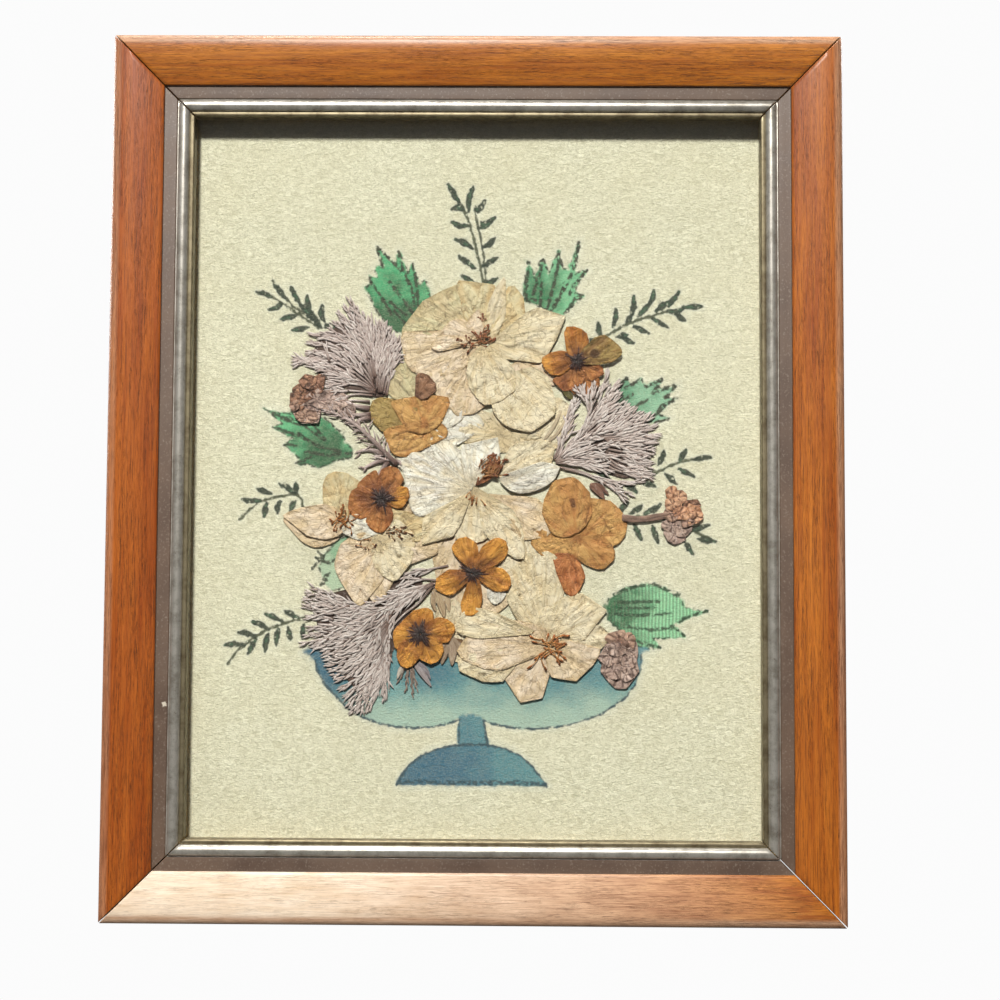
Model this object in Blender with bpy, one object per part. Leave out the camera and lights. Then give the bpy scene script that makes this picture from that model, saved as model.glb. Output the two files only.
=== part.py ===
"""Pressed flower picture in an 8 x 10 in moulded wood frame.

The frame hangs upright: +Z is up and the glass faces -Y. The origin is under the
middle of the frame, level with its bottom edge, halfway through its depth.
Every size below is in millimetres and is turned into metres where a mesh is made.
"""

import math

import bpy
import bmesh
from mathutils import Matrix

MM = 0.001
GAP = 0.3                      # clearance between pieces that touch

# The sheet that the frame is sold for, and how much of it the lip covers.
SHEET_W = 203.2
SHEET_H = 254.0
LIP_COVER = 6.35
SHEET_PLAY = 0.8               # room round the sheet inside the rebate

# Moulding section, measured inwards (u) and forwards from the back (w).
RAIL_W = 27.0
RAIL_D = 19.0
EDGE_R = 2.6                   # rounded outer edge
WOOD_W = 16.9                  # wooden face
BAND_END = 21.0                # inner end of the painted band
BEAD_MID = 23.5
BEAD_HALF = 1.9
BEAD_RISE = 1.6
BEAD_FOOT = 15.0               # level the bead stands on
FACE_FALL = 2.0                # how much the wooden face falls towards the picture
LEDGE = 11.4                   # rebate ledge under the lip
MITRE_GAP = GAP / 2 * math.sqrt(2)

SIGHT_W = SHEET_W - 2 * LIP_COVER
SIGHT_H = SHEET_H - 2 * LIP_COVER
OUTER_W = SIGHT_W + 2 * RAIL_W
OUTER_H = SIGHT_H + 2 * RAIL_W
REBATE_U = RAIL_W - LIP_COVER - SHEET_PLAY

# Layers behind the lip, by the level of each one's back face.
GLASS_T = 2.0
CLOTH_T = 0.8
BOARD_T = 2.5
POINT_T = 0.8
PLATE_T = 0.25                 # a pressed petal
PLATE_PITCH = PLATE_T + GAP
PLATE_LEVELS = 4
GLASS_BACK = LEDGE - GAP - GLASS_T
CLOTH_FRONT = GLASS_BACK - GAP - PLATE_LEVELS * PLATE_PITCH
CLOTH_BACK = CLOTH_FRONT - CLOTH_T
BOARD_BACK = CLOTH_BACK - GAP - BOARD_T
POINT_BACK = BOARD_BACK - GAP - POINT_T

# Framer's points that hold the board in.
POINT_LONG = 11.3
POINT_WIDE = 6.4
POINT_START = 16.2             # how far in from the outside a point's tip is
POINT_CLEAR = 0.45             # the slot's extra half length and half width

# Sawtooth hanger and its two nails.
HANGER_LONG = 45.0
HANGER_TALL = 9.0
HANGER_T = 0.8
HANGER_RISE = 0.8              # how far the toothed middle stands off the ends
HANGER_FLAT = 15.0             # half length of the toothed middle
HANGER_BEND = 18.0             # where the ends lie flat again
HANGER_U = 10.0                # its middle line below the frame's top edge
TEETH = 9
TOOTH_DEEP = 1.4
NAIL_X = 20.0
NAIL_R = 0.6
NAIL_HEAD_R = 1.5
NAIL_HEAD_T = 0.4
NAIL_DEEP = 7.0
HANGER_BACK = -(GAP + HANGER_T + HANGER_RISE)

DEPTH_TOTAL = RAIL_D - HANGER_BACK
BACK_Y = DEPTH_TOTAL / 2 + HANGER_BACK
CENTRE_Z = OUTER_H / 2

# Rail name, angle about +Y from the bottom rail, half extent across, length, points from the middle.
RAILS = (
    ("bottom", 0.0, OUTER_H / 2, OUTER_W, 52.0),
    ("left", 90.0, OUTER_W / 2, OUTER_H, 74.0),
    ("top", 180.0, OUTER_H / 2, OUTER_W, 52.0),
    ("right", -90.0, OUTER_W / 2, OUTER_H, 74.0),
)

# Pressed pieces: name, material, level (0 lies on the cloth), place about the middle of
# the sheet, and lobes as (direction in degrees, reach, width).
PRESSED = (
    ("fern_upper_left", "fern", 0, (-36, 29),
     ((88, 27, 12), (108, 31, 14), (128, 34, 14), (150, 29, 12), (170, 20, 8))),
    ("fern_stalk_left", "fern", 0, (-42, 14),
     ((140, 17, 6), (318, 19, 7))),
    ("fern_right", "fern", 0, (28, 4),
     ((8, 36, 13), (28, 41, 15), (48, 40, 15), (66, 34, 13), (345, 26, 10))),
    ("fern_lower_left", "fern", 0, (-26, -46),
     ((20, 12, 9), (160, 31, 13), (185, 30, 15), (212, 30, 15), (238, 34, 13), (252, 36, 10))),
    ("fern_wisp_low", "fern", 0, (-21, -69),
     ((95, 6, 5), (240, 7, 5), (300, 6, 5))),
    ("rust_petal", "rust_petal", 0, (32, -28),
     ((250, 12, 8), (290, 11, 7))),
    ("cream_petals_behind", "cream_petal", 1, (14, 14),
     ((25, 12, 11), (80, 11, 12), (150, 9, 10), (215, 10, 10), (300, 9, 10))),
    ("cream_petals_lower_left", "cream_petal", 1, (-31, -30),
     ((20, 15, 11), (75, 12, 10), (140, 13, 12), (190, 15, 12), (240, 15, 11), (320, 14, 11))),
    ("ochre_petals_left", "ochre_petal", 1, (-22, 20),
     ((15, 14, 12), (60, 9, 12), (140, 11, 11), (190, 16, 13), (300, 12, 11))),
    ("ochre_flower_right", "ochre_petal", 1, (34, -17),
     ((15, 16, 13), (100, 14, 13), (135, 11, 10), (200, 11, 8), (300, 10, 11))),
    ("brown_buds_left", "mauve_floret", 1, (-57, 27),
     ((30, 8, 8), (100, 8, 8), (165, 8, 8), (230, 8, 8), (310, 8, 8))),
    ("pink_floret_right", "mauve_floret", 1, (70, -11),
     ((45, 9, 8), (110, 9, 9), (178, 20, 4), (250, 10, 8), (320, 9, 8))),
    ("mauve_floret_low", "mauve_floret", 1, (50, -62),
     ((20, 7, 8), (100, 10, 9), (175, 8, 8), (250, 10, 9), (310, 9, 8))),
    ("cream_flower_top", "cream_petal", 2, (1, 44),
     ((18, 26, 16), (55, 21, 17), (97, 22, 17), (150, 26, 18), (190, 25, 16),
      (228, 24, 16), (275, 19, 16), (312, 29, 20), (345, 24, 14))),
    ("cream_flower_middle", "cream_petal", 2, (0, -6),
     ((25, 27, 15), (65, 19, 14), (115, 20, 15), (150, 22, 12), (188, 23, 18),
      (225, 22, 14), (262, 20, 15), (285, 20, 13), (325, 25, 16))),
    ("cream_flower_bottom", "cream_petal", 2, (22, -56),
     ((10, 21, 14), (40, 22, 14), (84, 24, 18), (140, 21, 14), (170, 28, 16),
      (198, 27, 14), (245, 19, 14), (275, 19, 12), (300, 18, 12), (340, 20, 14))),
    ("cream_flower_left", "cream_petal", 2, (-45, -13),
     ((15, 16, 10), (75, 16, 17), (120, 15, 15), (178, 19, 12), (205, 17, 12), (255, 12, 10), (320, 14, 12))),
    ("orange_flower_right", "orange_petal", 3, (34, 40),
     ((20, 16, 9), (85, 11, 9), (135, 12, 9), (200, 12, 10), (262, 11, 9), (335, 14, 10))),
    ("dark_orange_flower_left", "orange_petal", 3, (-32, -7),
     ((20, 9, 9), (75, 10, 9), (130, 10, 9), (190, 10, 9), (250, 10, 9), (310, 11, 9))),
    ("orange_flower_centre", "orange_petal", 3, (-1, -34),
     ((10, 12, 10), (65, 13, 10), (118, 12, 10), (180, 12, 9), (235, 12, 9), (305, 11, 10))),
    ("orange_flower_low", "orange_petal", 3, (-17, -54),
     ((30, 10, 10), (100, 10, 10), (165, 9, 10), (225, 9, 10), (300, 9, 10))),
    ("brown_scrap", "rust_petal", 3, (-17, 31),
     ((20, 5, 4), (160, 5, 4), (270, 4, 4))),
)
CORE_R = 3.2                   # least radius of a pressed piece about its own middle
OUTLINE_STEPS = 44

# Base colour, roughness and metallic value of each material.
FINISHES = {
    "moulding": ((0.42, 0.17, 0.05), 0.35, 0.0),
    "glass": ((0.9, 0.95, 0.93), 0.05, 0.0),
    "cloth": ((0.74, 0.69, 0.50), 0.95, 0.0),
    "board": ((0.24, 0.13, 0.06), 0.8, 0.0),
    "steel": ((0.45, 0.44, 0.42), 0.4, 1.0),
    "cream_petal": ((0.80, 0.71, 0.50), 0.7, 0.0),
    "orange_petal": ((0.50, 0.20, 0.03), 0.7, 0.0),
    "ochre_petal": ((0.58, 0.35, 0.12), 0.7, 0.0),
    "rust_petal": ((0.40, 0.14, 0.04), 0.7, 0.0),
    "mauve_floret": ((0.30, 0.19, 0.15), 0.8, 0.0),
    "fern": ((0.42, 0.34, 0.33), 0.85, 0.0),
}


def clear_scene():
    for old in list(bpy.data.objects):
        bpy.data.objects.remove(old, do_unlink=True)


def material(name):
    """The named finish, made the first time that it is asked for."""
    known = bpy.data.materials.get(name)
    if known:
        return known
    colour, roughness, metallic = FINISHES[name]
    made = bpy.data.materials.new(name)
    made.use_nodes = True
    shader = made.node_tree.nodes["Principled BSDF"]
    shader.inputs["Base Color"].default_value = (*colour, 1.0)
    shader.inputs["Roughness"].default_value = roughness
    shader.inputs["Metallic"].default_value = metallic
    return made


def prism(name, outline, level, thickness, finish, lift=None):
    """A flat piece: an outline of (x, z) points about the object's origin, from a level forwards.

    lift(x, z), if given, is how much further back a point of the piece stands.
    """
    mesh = bpy.data.meshes.new(name)
    work = bmesh.new()
    back = []
    front = []
    for x, z in outline:
        set_back = lift(x, z) if lift else 0.0
        y = BACK_Y - level + set_back
        back.append(work.verts.new((x * MM, y * MM, z * MM)))
        front.append(work.verts.new((x * MM, (y - thickness) * MM, z * MM)))
    work.faces.new(front)
    work.faces.new(list(reversed(back)))
    for i, here in enumerate(front):
        after = (i + 1) % len(front)
        work.faces.new((here, back[i], back[after], front[after]))
    bmesh.ops.recalc_face_normals(work, faces=work.faces)
    bmesh.ops.triangulate(work, faces=work.faces, quad_method="BEAUTY", ngon_method="EAR_CLIP")
    work.to_mesh(mesh)
    work.free()
    made = bpy.data.objects.new(name, mesh)
    bpy.context.scene.collection.objects.link(made)
    if finish:
        made.data.materials.append(material(finish))
    return made


def set_in_rail(made, angle):
    """Turns something made for the bottom rail onto the rail at this angle."""
    made.location = (0.0, 0.0, CENTRE_Z * MM)
    made.rotation_euler = (0.0, math.radians(angle), 0.0)
    return made


def cylinder(name, radius, start, end, x, z, finish, sides=16):
    """A round bar along Y between two levels, at a place about the middle of the frame."""
    work = bmesh.new()
    bmesh.ops.create_cone(
        work, cap_ends=True, segments=sides, radius1=radius * MM, radius2=radius * MM, depth=(end - start) * MM
    )
    middle = BACK_Y - (start + end) / 2
    turn = Matrix.Rotation(math.radians(90.0), 4, "X")
    bmesh.ops.transform(work, matrix=Matrix.Translation((x * MM, middle * MM, z * MM)) @ turn, verts=work.verts)
    mesh = bpy.data.meshes.new(name)
    work.to_mesh(mesh)
    work.free()
    mesh.shade_smooth()
    mesh.set_sharp_from_angle(angle=math.radians(40.0))
    made = bpy.data.objects.new(name, mesh)
    bpy.context.scene.collection.objects.link(made)
    if finish:
        made.data.materials.append(material(finish))
    made.location = (0.0, 0.0, CENTRE_Z * MM)
    return made


def as_cutter(made):
    made.hide_render = True
    made.display_type = "WIRE"
    return made


def boolean(target, tool, operation):
    change = target.modifiers.new(operation.lower(), "BOOLEAN")
    change.operation = operation
    change.solver = "EXACT"
    change.object = tool
    return change


def arc(centre, radii, start, end, steps):
    """Points of part of an ellipse, from one angle to another in degrees."""
    points = []
    for i in range(steps + 1):
        angle = math.radians(start + (end - start) * i / steps)
        points.append((centre[0] + radii[0] * math.cos(angle), centre[1] + radii[1] * math.sin(angle)))
    return points


def moulding_section():
    """The section as (u, w) points, round from the outer back edge over the face to the rebate."""
    shoulder = RAIL_D - EDGE_R - 0.1
    section = [(0.0, 0.0)]
    section += arc((EDGE_R, shoulder), (EDGE_R, EDGE_R), 180.0, 90.0, 6)
    section += [(3.6, RAIL_D), (10.0, RAIL_D - 0.45 * FACE_FALL), (15.4, RAIL_D - FACE_FALL)]
    section += [(16.5, RAIL_D - FACE_FALL - 0.35), (WOOD_W, RAIL_D - FACE_FALL - 0.8)]
    section += [(WOOD_W + 0.15, BEAD_FOOT + 0.6), (19.0, BEAD_FOOT + 0.5)]
    section += [(BAND_END, BEAD_FOOT + 0.35), (BAND_END + 0.15, BEAD_FOOT)]
    section += arc((BEAD_MID, BEAD_FOOT), (BEAD_HALF, BEAD_RISE), 180.0, 0.0, 10)
    section += [(RAIL_W - 1.3, BEAD_FOOT + 0.15), (RAIL_W - 0.3, BEAD_FOOT + 0.15), (RAIL_W, BEAD_FOOT - 0.2)]
    section += [(RAIL_W, LEDGE), (REBATE_U, LEDGE), (REBATE_U, 0.0)]
    return section


def make_rail(side, angle, half, length):
    """One length of moulding, mitred at both ends."""
    section = moulding_section()
    name = "rail_" + side
    mesh = bpy.data.meshes.new(name)
    work = bmesh.new()
    rings = []
    for end in (-1, 1):
        ring = []
        for u, w in section:
            x = end * (length / 2 - u - MITRE_GAP)
            ring.append(work.verts.new((x * MM, (BACK_Y - w) * MM, (u - half) * MM)))
        rings.append(ring)
    work.faces.new(rings[0])
    work.faces.new(list(reversed(rings[1])))
    for i in range(len(section)):
        after = (i + 1) % len(section)
        work.faces.new((rings[0][i], rings[1][i], rings[1][after], rings[0][after]))
    bmesh.ops.recalc_face_normals(work, faces=work.faces)
    work.to_mesh(mesh)
    work.free()
    mesh.shade_smooth()
    mesh.set_sharp_from_angle(angle=math.radians(30.0))
    made = bpy.data.objects.new(name, mesh)
    bpy.context.scene.collection.objects.link(made)
    made.data.materials.append(material("moulding"))
    return set_in_rail(made, angle)


def point_outline(x, half, clear=0.0):
    """A framer's point: a long kite with its tip in the rail, from the side of the bottom rail."""
    tip = POINT_START - half - clear
    tail = POINT_START + POINT_LONG - half + clear
    middle = (tip + tail) / 2
    wide = POINT_WIDE / 2 + clear
    return [(x, tip), (x + wide, middle), (x + 1.2, tail), (x - 1.2, tail), (x - wide, middle)]


def make_points(rail, side, angle, half, spread):
    """Two points driven into a rail's rebate wall, each in its own slot."""
    for place, x in (("a", -spread), ("b", spread)):
        name = f"point_{side}_{place}"
        set_in_rail(prism(name, point_outline(x, half), POINT_BACK, POINT_T, "steel"), angle)
        outline = point_outline(x, half, POINT_CLEAR)
        slot = prism("slot_" + name, outline, POINT_BACK - GAP, POINT_T + 2 * GAP, None)
        boolean(rail, as_cutter(set_in_rail(slot, angle)), "DIFFERENCE")


def panel(name, level, thickness, finish):
    """A sheet of the frame's nominal size."""
    x, z = SHEET_W / 2, SHEET_H / 2
    made = prism(name, [(-x, -z), (x, -z), (x, z), (-x, z)], level, thickness, finish)
    made.location = (0.0, 0.0, CENTRE_Z * MM)
    return made


def hanger_outline(z):
    """A strip with rounded upper corners and a row of teeth along its lower edge."""
    half, tall = HANGER_LONG / 2, HANGER_TALL / 2
    points = [(-half, z + 0.5)]
    points += [(-half + 1.5, z + tall - 1.0), (-half + 4.0, z + tall), (-HANGER_BEND, z + tall)]
    points += [(-HANGER_FLAT, z + tall), (HANGER_FLAT, z + tall), (HANGER_BEND, z + tall)]
    points += [(half - 4.0, z + tall), (half - 1.5, z + tall - 1.0), (half, z + 0.5)]
    points += [(half - 1.5, z - tall + 1.0), (HANGER_BEND, z - tall), (HANGER_FLAT, z - tall)]
    pitch = 2 * (HANGER_FLAT - 1.0) / TEETH
    for i in range(TEETH):
        right = HANGER_FLAT - 1.0 - i * pitch
        points += [(right, z - tall), (right - pitch / 2, z - tall + TOOTH_DEEP)]
    points += [(1.0 - HANGER_FLAT, z - tall), (-HANGER_FLAT, z - tall), (-HANGER_BEND, z - tall)]
    points += [(1.5 - half, z - tall + 1.0)]
    return points


def hanger_lift(x, z):
    """The middle of the hanger stands off the wood so that a wall nail fits behind the teeth."""
    share = (HANGER_BEND - abs(x)) / (HANGER_BEND - HANGER_FLAT)
    return HANGER_RISE * max(0.0, min(1.0, share))


def make_hanger(rail):
    """The sawtooth hanger on the back of the top rail, with a nail through each end."""
    z = OUTER_H / 2 - HANGER_U
    hanger = prism("sawtooth_hanger", hanger_outline(z), -(GAP + HANGER_T), HANGER_T, "steel", hanger_lift)
    hanger.location = (0.0, 0.0, CENTRE_Z * MM)
    for side, x in (("left", -NAIL_X), ("right", NAIL_X)):
        bore = cylinder("bore_" + side, NAIL_R + GAP, -4.0, NAIL_DEEP + GAP, x, z, None)
        boolean(rail, as_cutter(bore), "DIFFERENCE")
        boolean(hanger, bore, "DIFFERENCE")
        under_head = -(HANGER_T + 2 * GAP)
        nail = cylinder("hanger_nail_" + side, NAIL_R, under_head - NAIL_HEAD_T / 2, NAIL_DEEP, x, z, "steel")
        head = cylinder("head_" + side, NAIL_HEAD_R, under_head - NAIL_HEAD_T, under_head, x, z, None)
        boolean(nail, as_cutter(head), "UNION")


def petal_reach(angle, lobe):
    """How far an oval petal that starts at the flower's middle reaches in this direction."""
    direction, reach, width = lobe
    turn = math.radians(angle - direction)
    along = math.cos(turn)
    if along <= 0.0:
        return 0.0
    shape = (reach / width) ** 2
    return reach * along / (along * along + shape * math.sin(turn) ** 2)


def make_pressed(name, finish, level, place, lobes):
    """A pressed flower, petal or spray as one thin plate with the outline of its lobes."""
    outline = []
    for i in range(OUTLINE_STEPS):
        angle = 360.0 * i / OUTLINE_STEPS
        reach = max([CORE_R] + [petal_reach(angle, lobe) for lobe in lobes])
        turn = math.radians(angle)
        outline.append((place[0] + reach * math.cos(turn), place[1] + reach * math.sin(turn)))
    back = CLOTH_FRONT + GAP + level * PLATE_PITCH
    made = prism(name, outline, back, PLATE_T, finish)
    made.location = (0.0, 0.0, CENTRE_Z * MM)
    return made


def main():
    clear_scene()
    for side, angle, half, length, spread in RAILS:
        rail = make_rail(side, angle, half, length)
        make_points(rail, side, angle, half, spread)
        if side == "top":
            make_hanger(rail)
    panel("glass_pane", GLASS_BACK, GLASS_T, "glass")
    panel("cloth_panel", CLOTH_BACK, CLOTH_T, "cloth")
    panel("backing_board", BOARD_BACK, BOARD_T, "board")
    for name, finish, level, place, lobes in PRESSED:
        make_pressed(name, finish, level, place, lobes)


main()
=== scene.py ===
import math

import bmesh
import bpy
import numpy as np
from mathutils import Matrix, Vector, geometry


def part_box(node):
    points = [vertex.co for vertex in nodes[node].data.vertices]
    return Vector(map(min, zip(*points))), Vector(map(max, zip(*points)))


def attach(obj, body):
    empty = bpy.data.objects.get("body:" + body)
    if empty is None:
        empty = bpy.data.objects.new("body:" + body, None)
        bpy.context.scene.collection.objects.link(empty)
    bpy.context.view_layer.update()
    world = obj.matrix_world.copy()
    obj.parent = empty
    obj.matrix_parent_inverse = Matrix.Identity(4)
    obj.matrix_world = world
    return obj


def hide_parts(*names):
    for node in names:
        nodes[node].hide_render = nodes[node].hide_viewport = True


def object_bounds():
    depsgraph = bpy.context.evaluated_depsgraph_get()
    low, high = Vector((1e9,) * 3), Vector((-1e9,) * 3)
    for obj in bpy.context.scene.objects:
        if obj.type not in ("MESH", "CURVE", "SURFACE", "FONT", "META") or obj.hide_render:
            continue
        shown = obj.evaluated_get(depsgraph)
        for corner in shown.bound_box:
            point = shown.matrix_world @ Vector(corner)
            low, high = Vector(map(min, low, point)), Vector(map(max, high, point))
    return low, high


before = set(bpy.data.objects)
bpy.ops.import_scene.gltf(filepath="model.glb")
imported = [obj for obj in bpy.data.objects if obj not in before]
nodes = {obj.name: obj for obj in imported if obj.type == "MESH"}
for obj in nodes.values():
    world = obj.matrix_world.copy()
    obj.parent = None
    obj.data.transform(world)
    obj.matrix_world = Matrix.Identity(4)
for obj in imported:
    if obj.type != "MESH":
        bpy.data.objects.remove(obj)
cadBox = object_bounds()
mm = 0.001

# Places come from the CAD: heights above the cloth are in mm, towards the glass.
clothLow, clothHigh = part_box("cloth_panel")
glassLow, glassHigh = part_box("glass_pane")
middleZ = (clothLow.z + clothHigh.z) / 2
sheetSize = (clothHigh.x - clothLow.x, clothHigh.z - clothLow.z)
roomDeep = (clothLow.y - glassHigh.y) / mm


def srgb(r, g, b):
    # a colour as it looks on a screen, 0 to 255, as the linear colour a shader takes
    return tuple((c / 255 / 12.92) if c <= 10 else ((c / 255 + 0.055) / 1.055) ** 2.4 for c in (r, g, b))


def lattice(ix, iz, seed):
    mixed = (ix.astype(np.int64) * 73856093) ^ (iz.astype(np.int64) * 19349663) ^ (seed * 83492791)
    mixed = (mixed & 0xFFFFFFFF) * 1274126177
    mixed = ((mixed >> 16) ^ (mixed >> 29)) & 0xFFFFFF
    return ((mixed * 69069 + 12345) & 0xFFFF) / 65535.0


def softNoise(x, z, size, seed):
    # smooth random height from 0 to 1, with lumps about this size in mm
    x, z = np.asarray(x, float) / size, np.asarray(z, float) / size
    ix, iz = np.floor(x), np.floor(z)
    fx, fz = x - ix, z - iz
    fx, fz = fx * fx * (3 - 2 * fx), fz * fz * (3 - 2 * fz)
    low = lattice(ix, iz, seed) * (1 - fx) + lattice(ix + 1, iz, seed) * fx
    high = lattice(ix, iz + 1, seed) * (1 - fx) + lattice(ix + 1, iz + 1, seed) * fx
    return low * (1 - fz) + high * fz


def layeredNoise(x, z, size, seed, layers=3):
    total, weight = 0.0, 1.0
    for i in range(layers):
        total = total + weight * softNoise(x, z, size / 2 ** i, seed + 7 * i)
        weight *= 0.5
    return total / (2 - 2 * weight)


def ramp(value, low, high):
    part = np.clip((value - low) / (high - low), 0.0, 1.0)
    return part * part * (3 - 2 * part)


def curveThrough(points, step, closed=False):
    # a smooth curve through a few points, read off about every step mm
    points = np.array(points, float)
    count = len(points)
    out = []
    for i in range(count if closed else count - 1):
        a, b = points[i], points[(i + 1) % count]
        before = points[i - 1] if closed or i else a
        after = points[(i + 2) % count] if closed or i + 2 < count else b
        pieces = max(1, int(round(np.linalg.norm(b - a) / step)))
        for k in range(pieces):
            t = k / pieces
            out.append(0.5 * (2 * a + (b - before) * t + (2 * before - 5 * a + 4 * b - after) * t * t
                              + (3 * a - before - 3 * b + after) * t ** 3))
    if not closed:
        out.append(points[-1])
    return np.array(out)


def distanceTo(x, z, path, closed=False):
    # distance from each place to a path, the side of the path it is on, and how far along (0 to 1)
    path = np.asarray(path, float)
    ends = np.roll(path, -1, 0) if closed else path[1:]
    starts = path if closed else path[:-1]
    best = np.full(np.shape(x), 1e9)
    side = np.zeros(np.shape(x))
    along = np.zeros(np.shape(x))
    for i, (a, b) in enumerate(zip(starts, ends)):
        run = b - a
        t = np.clip(((x - a[0]) * run[0] + (z - a[1]) * run[1]) / max(run @ run, 1e-9), 0, 1)
        dx, dz = x - a[0] - t * run[0], z - a[1] - t * run[1]
        d = np.hypot(dx, dz)
        nearer = d < best
        best = np.where(nearer, d, best)
        side = np.where(nearer, np.sign(run[0] * dz - run[1] * dx), side)
        along = np.where(nearer, (i + t) / len(starts), along)
    return best, side, along


def isInside(x, z, loop):
    inside = np.zeros(np.shape(x), bool)
    for a, b in zip(loop, np.roll(loop, -1, 0)):
        crosses = (a[1] > z) != (b[1] > z)
        with np.errstate(divide="ignore", invalid="ignore"):
            at = (b[0] - a[0]) * (z - a[1]) / (b[1] - a[1]) + a[0]
        inside ^= crosses & (x < at)
    return inside


def hexGrid(x0, z0, x1, z1, step, seed, wander=0.22):
    rng = np.random.default_rng(seed)
    rise = step * math.sqrt(3) / 2
    rows, columns = int((z1 - z0) / rise) + 1, int((x1 - x0) / step) + 1
    k, i = np.mgrid[0:rows, 0:columns]
    x = x0 + (i + 0.5 * (k % 2)) * step
    z = z0 + k * rise
    points = np.stack([x.ravel(), z.ravel()], 1)
    return points + rng.uniform(-wander, wander, points.shape) * step


def onSheet(points):
    # (x, height above the cloth, z) in mm about the middle of the sheet, as places in metres
    points = np.asarray(points, float)
    return np.stack([points[:, 0] * mm, clothLow.y - points[:, 1] * mm, middleZ + points[:, 2] * mm], 1)


def meshPiece(name, points, faces, smooth=True, sharp=None):
    mesh = bpy.data.meshes.new(name)
    mesh.from_pydata(np.asarray(points).tolist(), [],
                     faces if isinstance(faces, list) else faces.tolist())
    mesh.update()
    if smooth:
        mesh.shade_smooth()
    if sharp:
        mesh.set_sharp_from_angle(angle=math.radians(sharp))
    made = bpy.data.objects.new(name, mesh)
    bpy.context.scene.collection.objects.link(made)
    return made


def storeColour(piece, name, values):
    layer = piece.data.attributes.new(name, "FLOAT_COLOR", "POINT")
    layer.data.foreach_set("color", np.asarray(values, np.float32).ravel())


def storeVector(piece, name, values):
    layer = piece.data.attributes.new(name, "FLOAT_VECTOR", "POINT")
    layer.data.foreach_set("vector", np.asarray(values, np.float32).ravel())


def standFor(piece, slotName, *cadNodes):
    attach(piece, "root")
    if cadNodes:
        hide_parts(*cadNodes)


# Small helpers that add and join shader nodes.

def addNode(tree, kind, inputs=None, **settings):
    node = tree.nodes.new("ShaderNode" + kind)
    for key, value in settings.items():
        setattr(node, key, value)
    for key, value in (inputs or {}).items():
        if isinstance(value, bpy.types.NodeSocket):
            tree.links.new(value, node.inputs[key])
        else:
            node.inputs[key].default_value = value
    return node


def mathNode(tree, operation, a, b=0.5, clamp=False):
    return addNode(tree, "Math", {0: a, 1: b}, operation=operation, use_clamp=clamp).outputs[0]


def mixColour(tree, factor, a, b, blend="MIX"):
    node = addNode(tree, "Mix", {0: factor}, data_type="RGBA", blend_type=blend)
    for socket, value in ((node.inputs[6], a), (node.inputs[7], b)):
        if isinstance(value, bpy.types.NodeSocket):
            tree.links.new(value, socket)
        else:
            socket.default_value = (*value, 1.0) if len(value) == 3 else value
    return node.outputs[2]


def rampNode(tree, value, low, high, outLow=0.0, outHigh=1.0):
    inputs = {"Value": value, "From Min": low, "From Max": high, "To Min": outLow, "To Max": outHigh}
    return addNode(tree, "MapRange", inputs).outputs[0]


def noiseNode(tree, vector, scale, detail=3.0, roughness=0.55, distortion=0.0):
    inputs = {"Vector": vector, "Scale": scale, "Detail": detail, "Roughness": roughness,
              "Distortion": distortion}
    return addNode(tree, "TexNoise", inputs).outputs["Fac"]


def stretched(tree, vector, scale):
    return addNode(tree, "VectorMath", {0: vector, 1: scale}, operation="MULTIPLY").outputs[0]


def attributeNode(tree, name):
    return addNode(tree, "Attribute", attribute_name=name)


def placeNode(tree):
    return addNode(tree, "TexCoord").outputs["Object"]


def newMaterial(name, **plain):
    made = bpy.data.materials.new(name)
    made.use_nodes = True
    shader = made.node_tree.nodes["Principled BSDF"]
    for key, value in plain.items():
        shader.inputs[key.replace("_", " ")].default_value = value
    return made, made.node_tree, shader


def bumpInto(tree, shader, height, strength, distance):
    bump = addNode(tree, "Bump", {"Height": height, "Strength": strength, "Distance": distance * mm})
    tree.links.new(bump.outputs[0], shader.inputs["Normal"])


def newGroup(name, inputs, outputs):
    group = bpy.data.node_groups.new(name, "ShaderNodeTree")
    for label, kind, value in inputs:
        socket = group.interface.new_socket(label, in_out="INPUT", socket_type="NodeSocket" + kind)
        if value is not None:
            socket.default_value = value
    for label, kind in outputs:
        group.interface.new_socket(label, in_out="OUTPUT", socket_type="NodeSocket" + kind)
    return group, group.nodes.new("NodeGroupInput"), group.nodes.new("NodeGroupOutput")


def useGroup(tree, group, inputs):
    node = tree.nodes.new("ShaderNodeGroup")
    node.node_tree = group
    for key, value in inputs.items():
        if isinstance(value, bpy.types.NodeSocket):
            tree.links.new(value, node.inputs[key])
        else:
            node.inputs[key].default_value = value
    return node


def buildDustGroup():
    # a faint pale film and small specks, for the finishes that have gathered dust
    group, given, result = newGroup(
        "settledDust", [("Vector", "Vector", None), ("Colour", "Color", (0.5, 0.5, 0.5, 1)),
                        ("Amount", "Float", 0.2), ("Speck Size", "Float", 900.0)], [("Colour", "Color")])
    film = noiseNode(group, given.outputs["Vector"], 45.0, 4.0)
    speck = noiseNode(group, given.outputs["Vector"], 900.0, 1.0)
    group.links.new(given.outputs["Speck Size"], speck.node.inputs["Scale"])
    speckMask = rampNode(group, speck, 0.70, 0.76)
    filmMask = mathNode(group, "MULTIPLY", film, given.outputs["Amount"])
    both = mathNode(group, "ADD", filmMask,
                    mathNode(group, "MULTIPLY", speckMask, given.outputs["Amount"]))
    dusted = mixColour(group, both, given.outputs["Colour"], srgb(205, 196, 180))
    group.links.new(dusted, result.inputs["Colour"])
    return group


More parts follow.
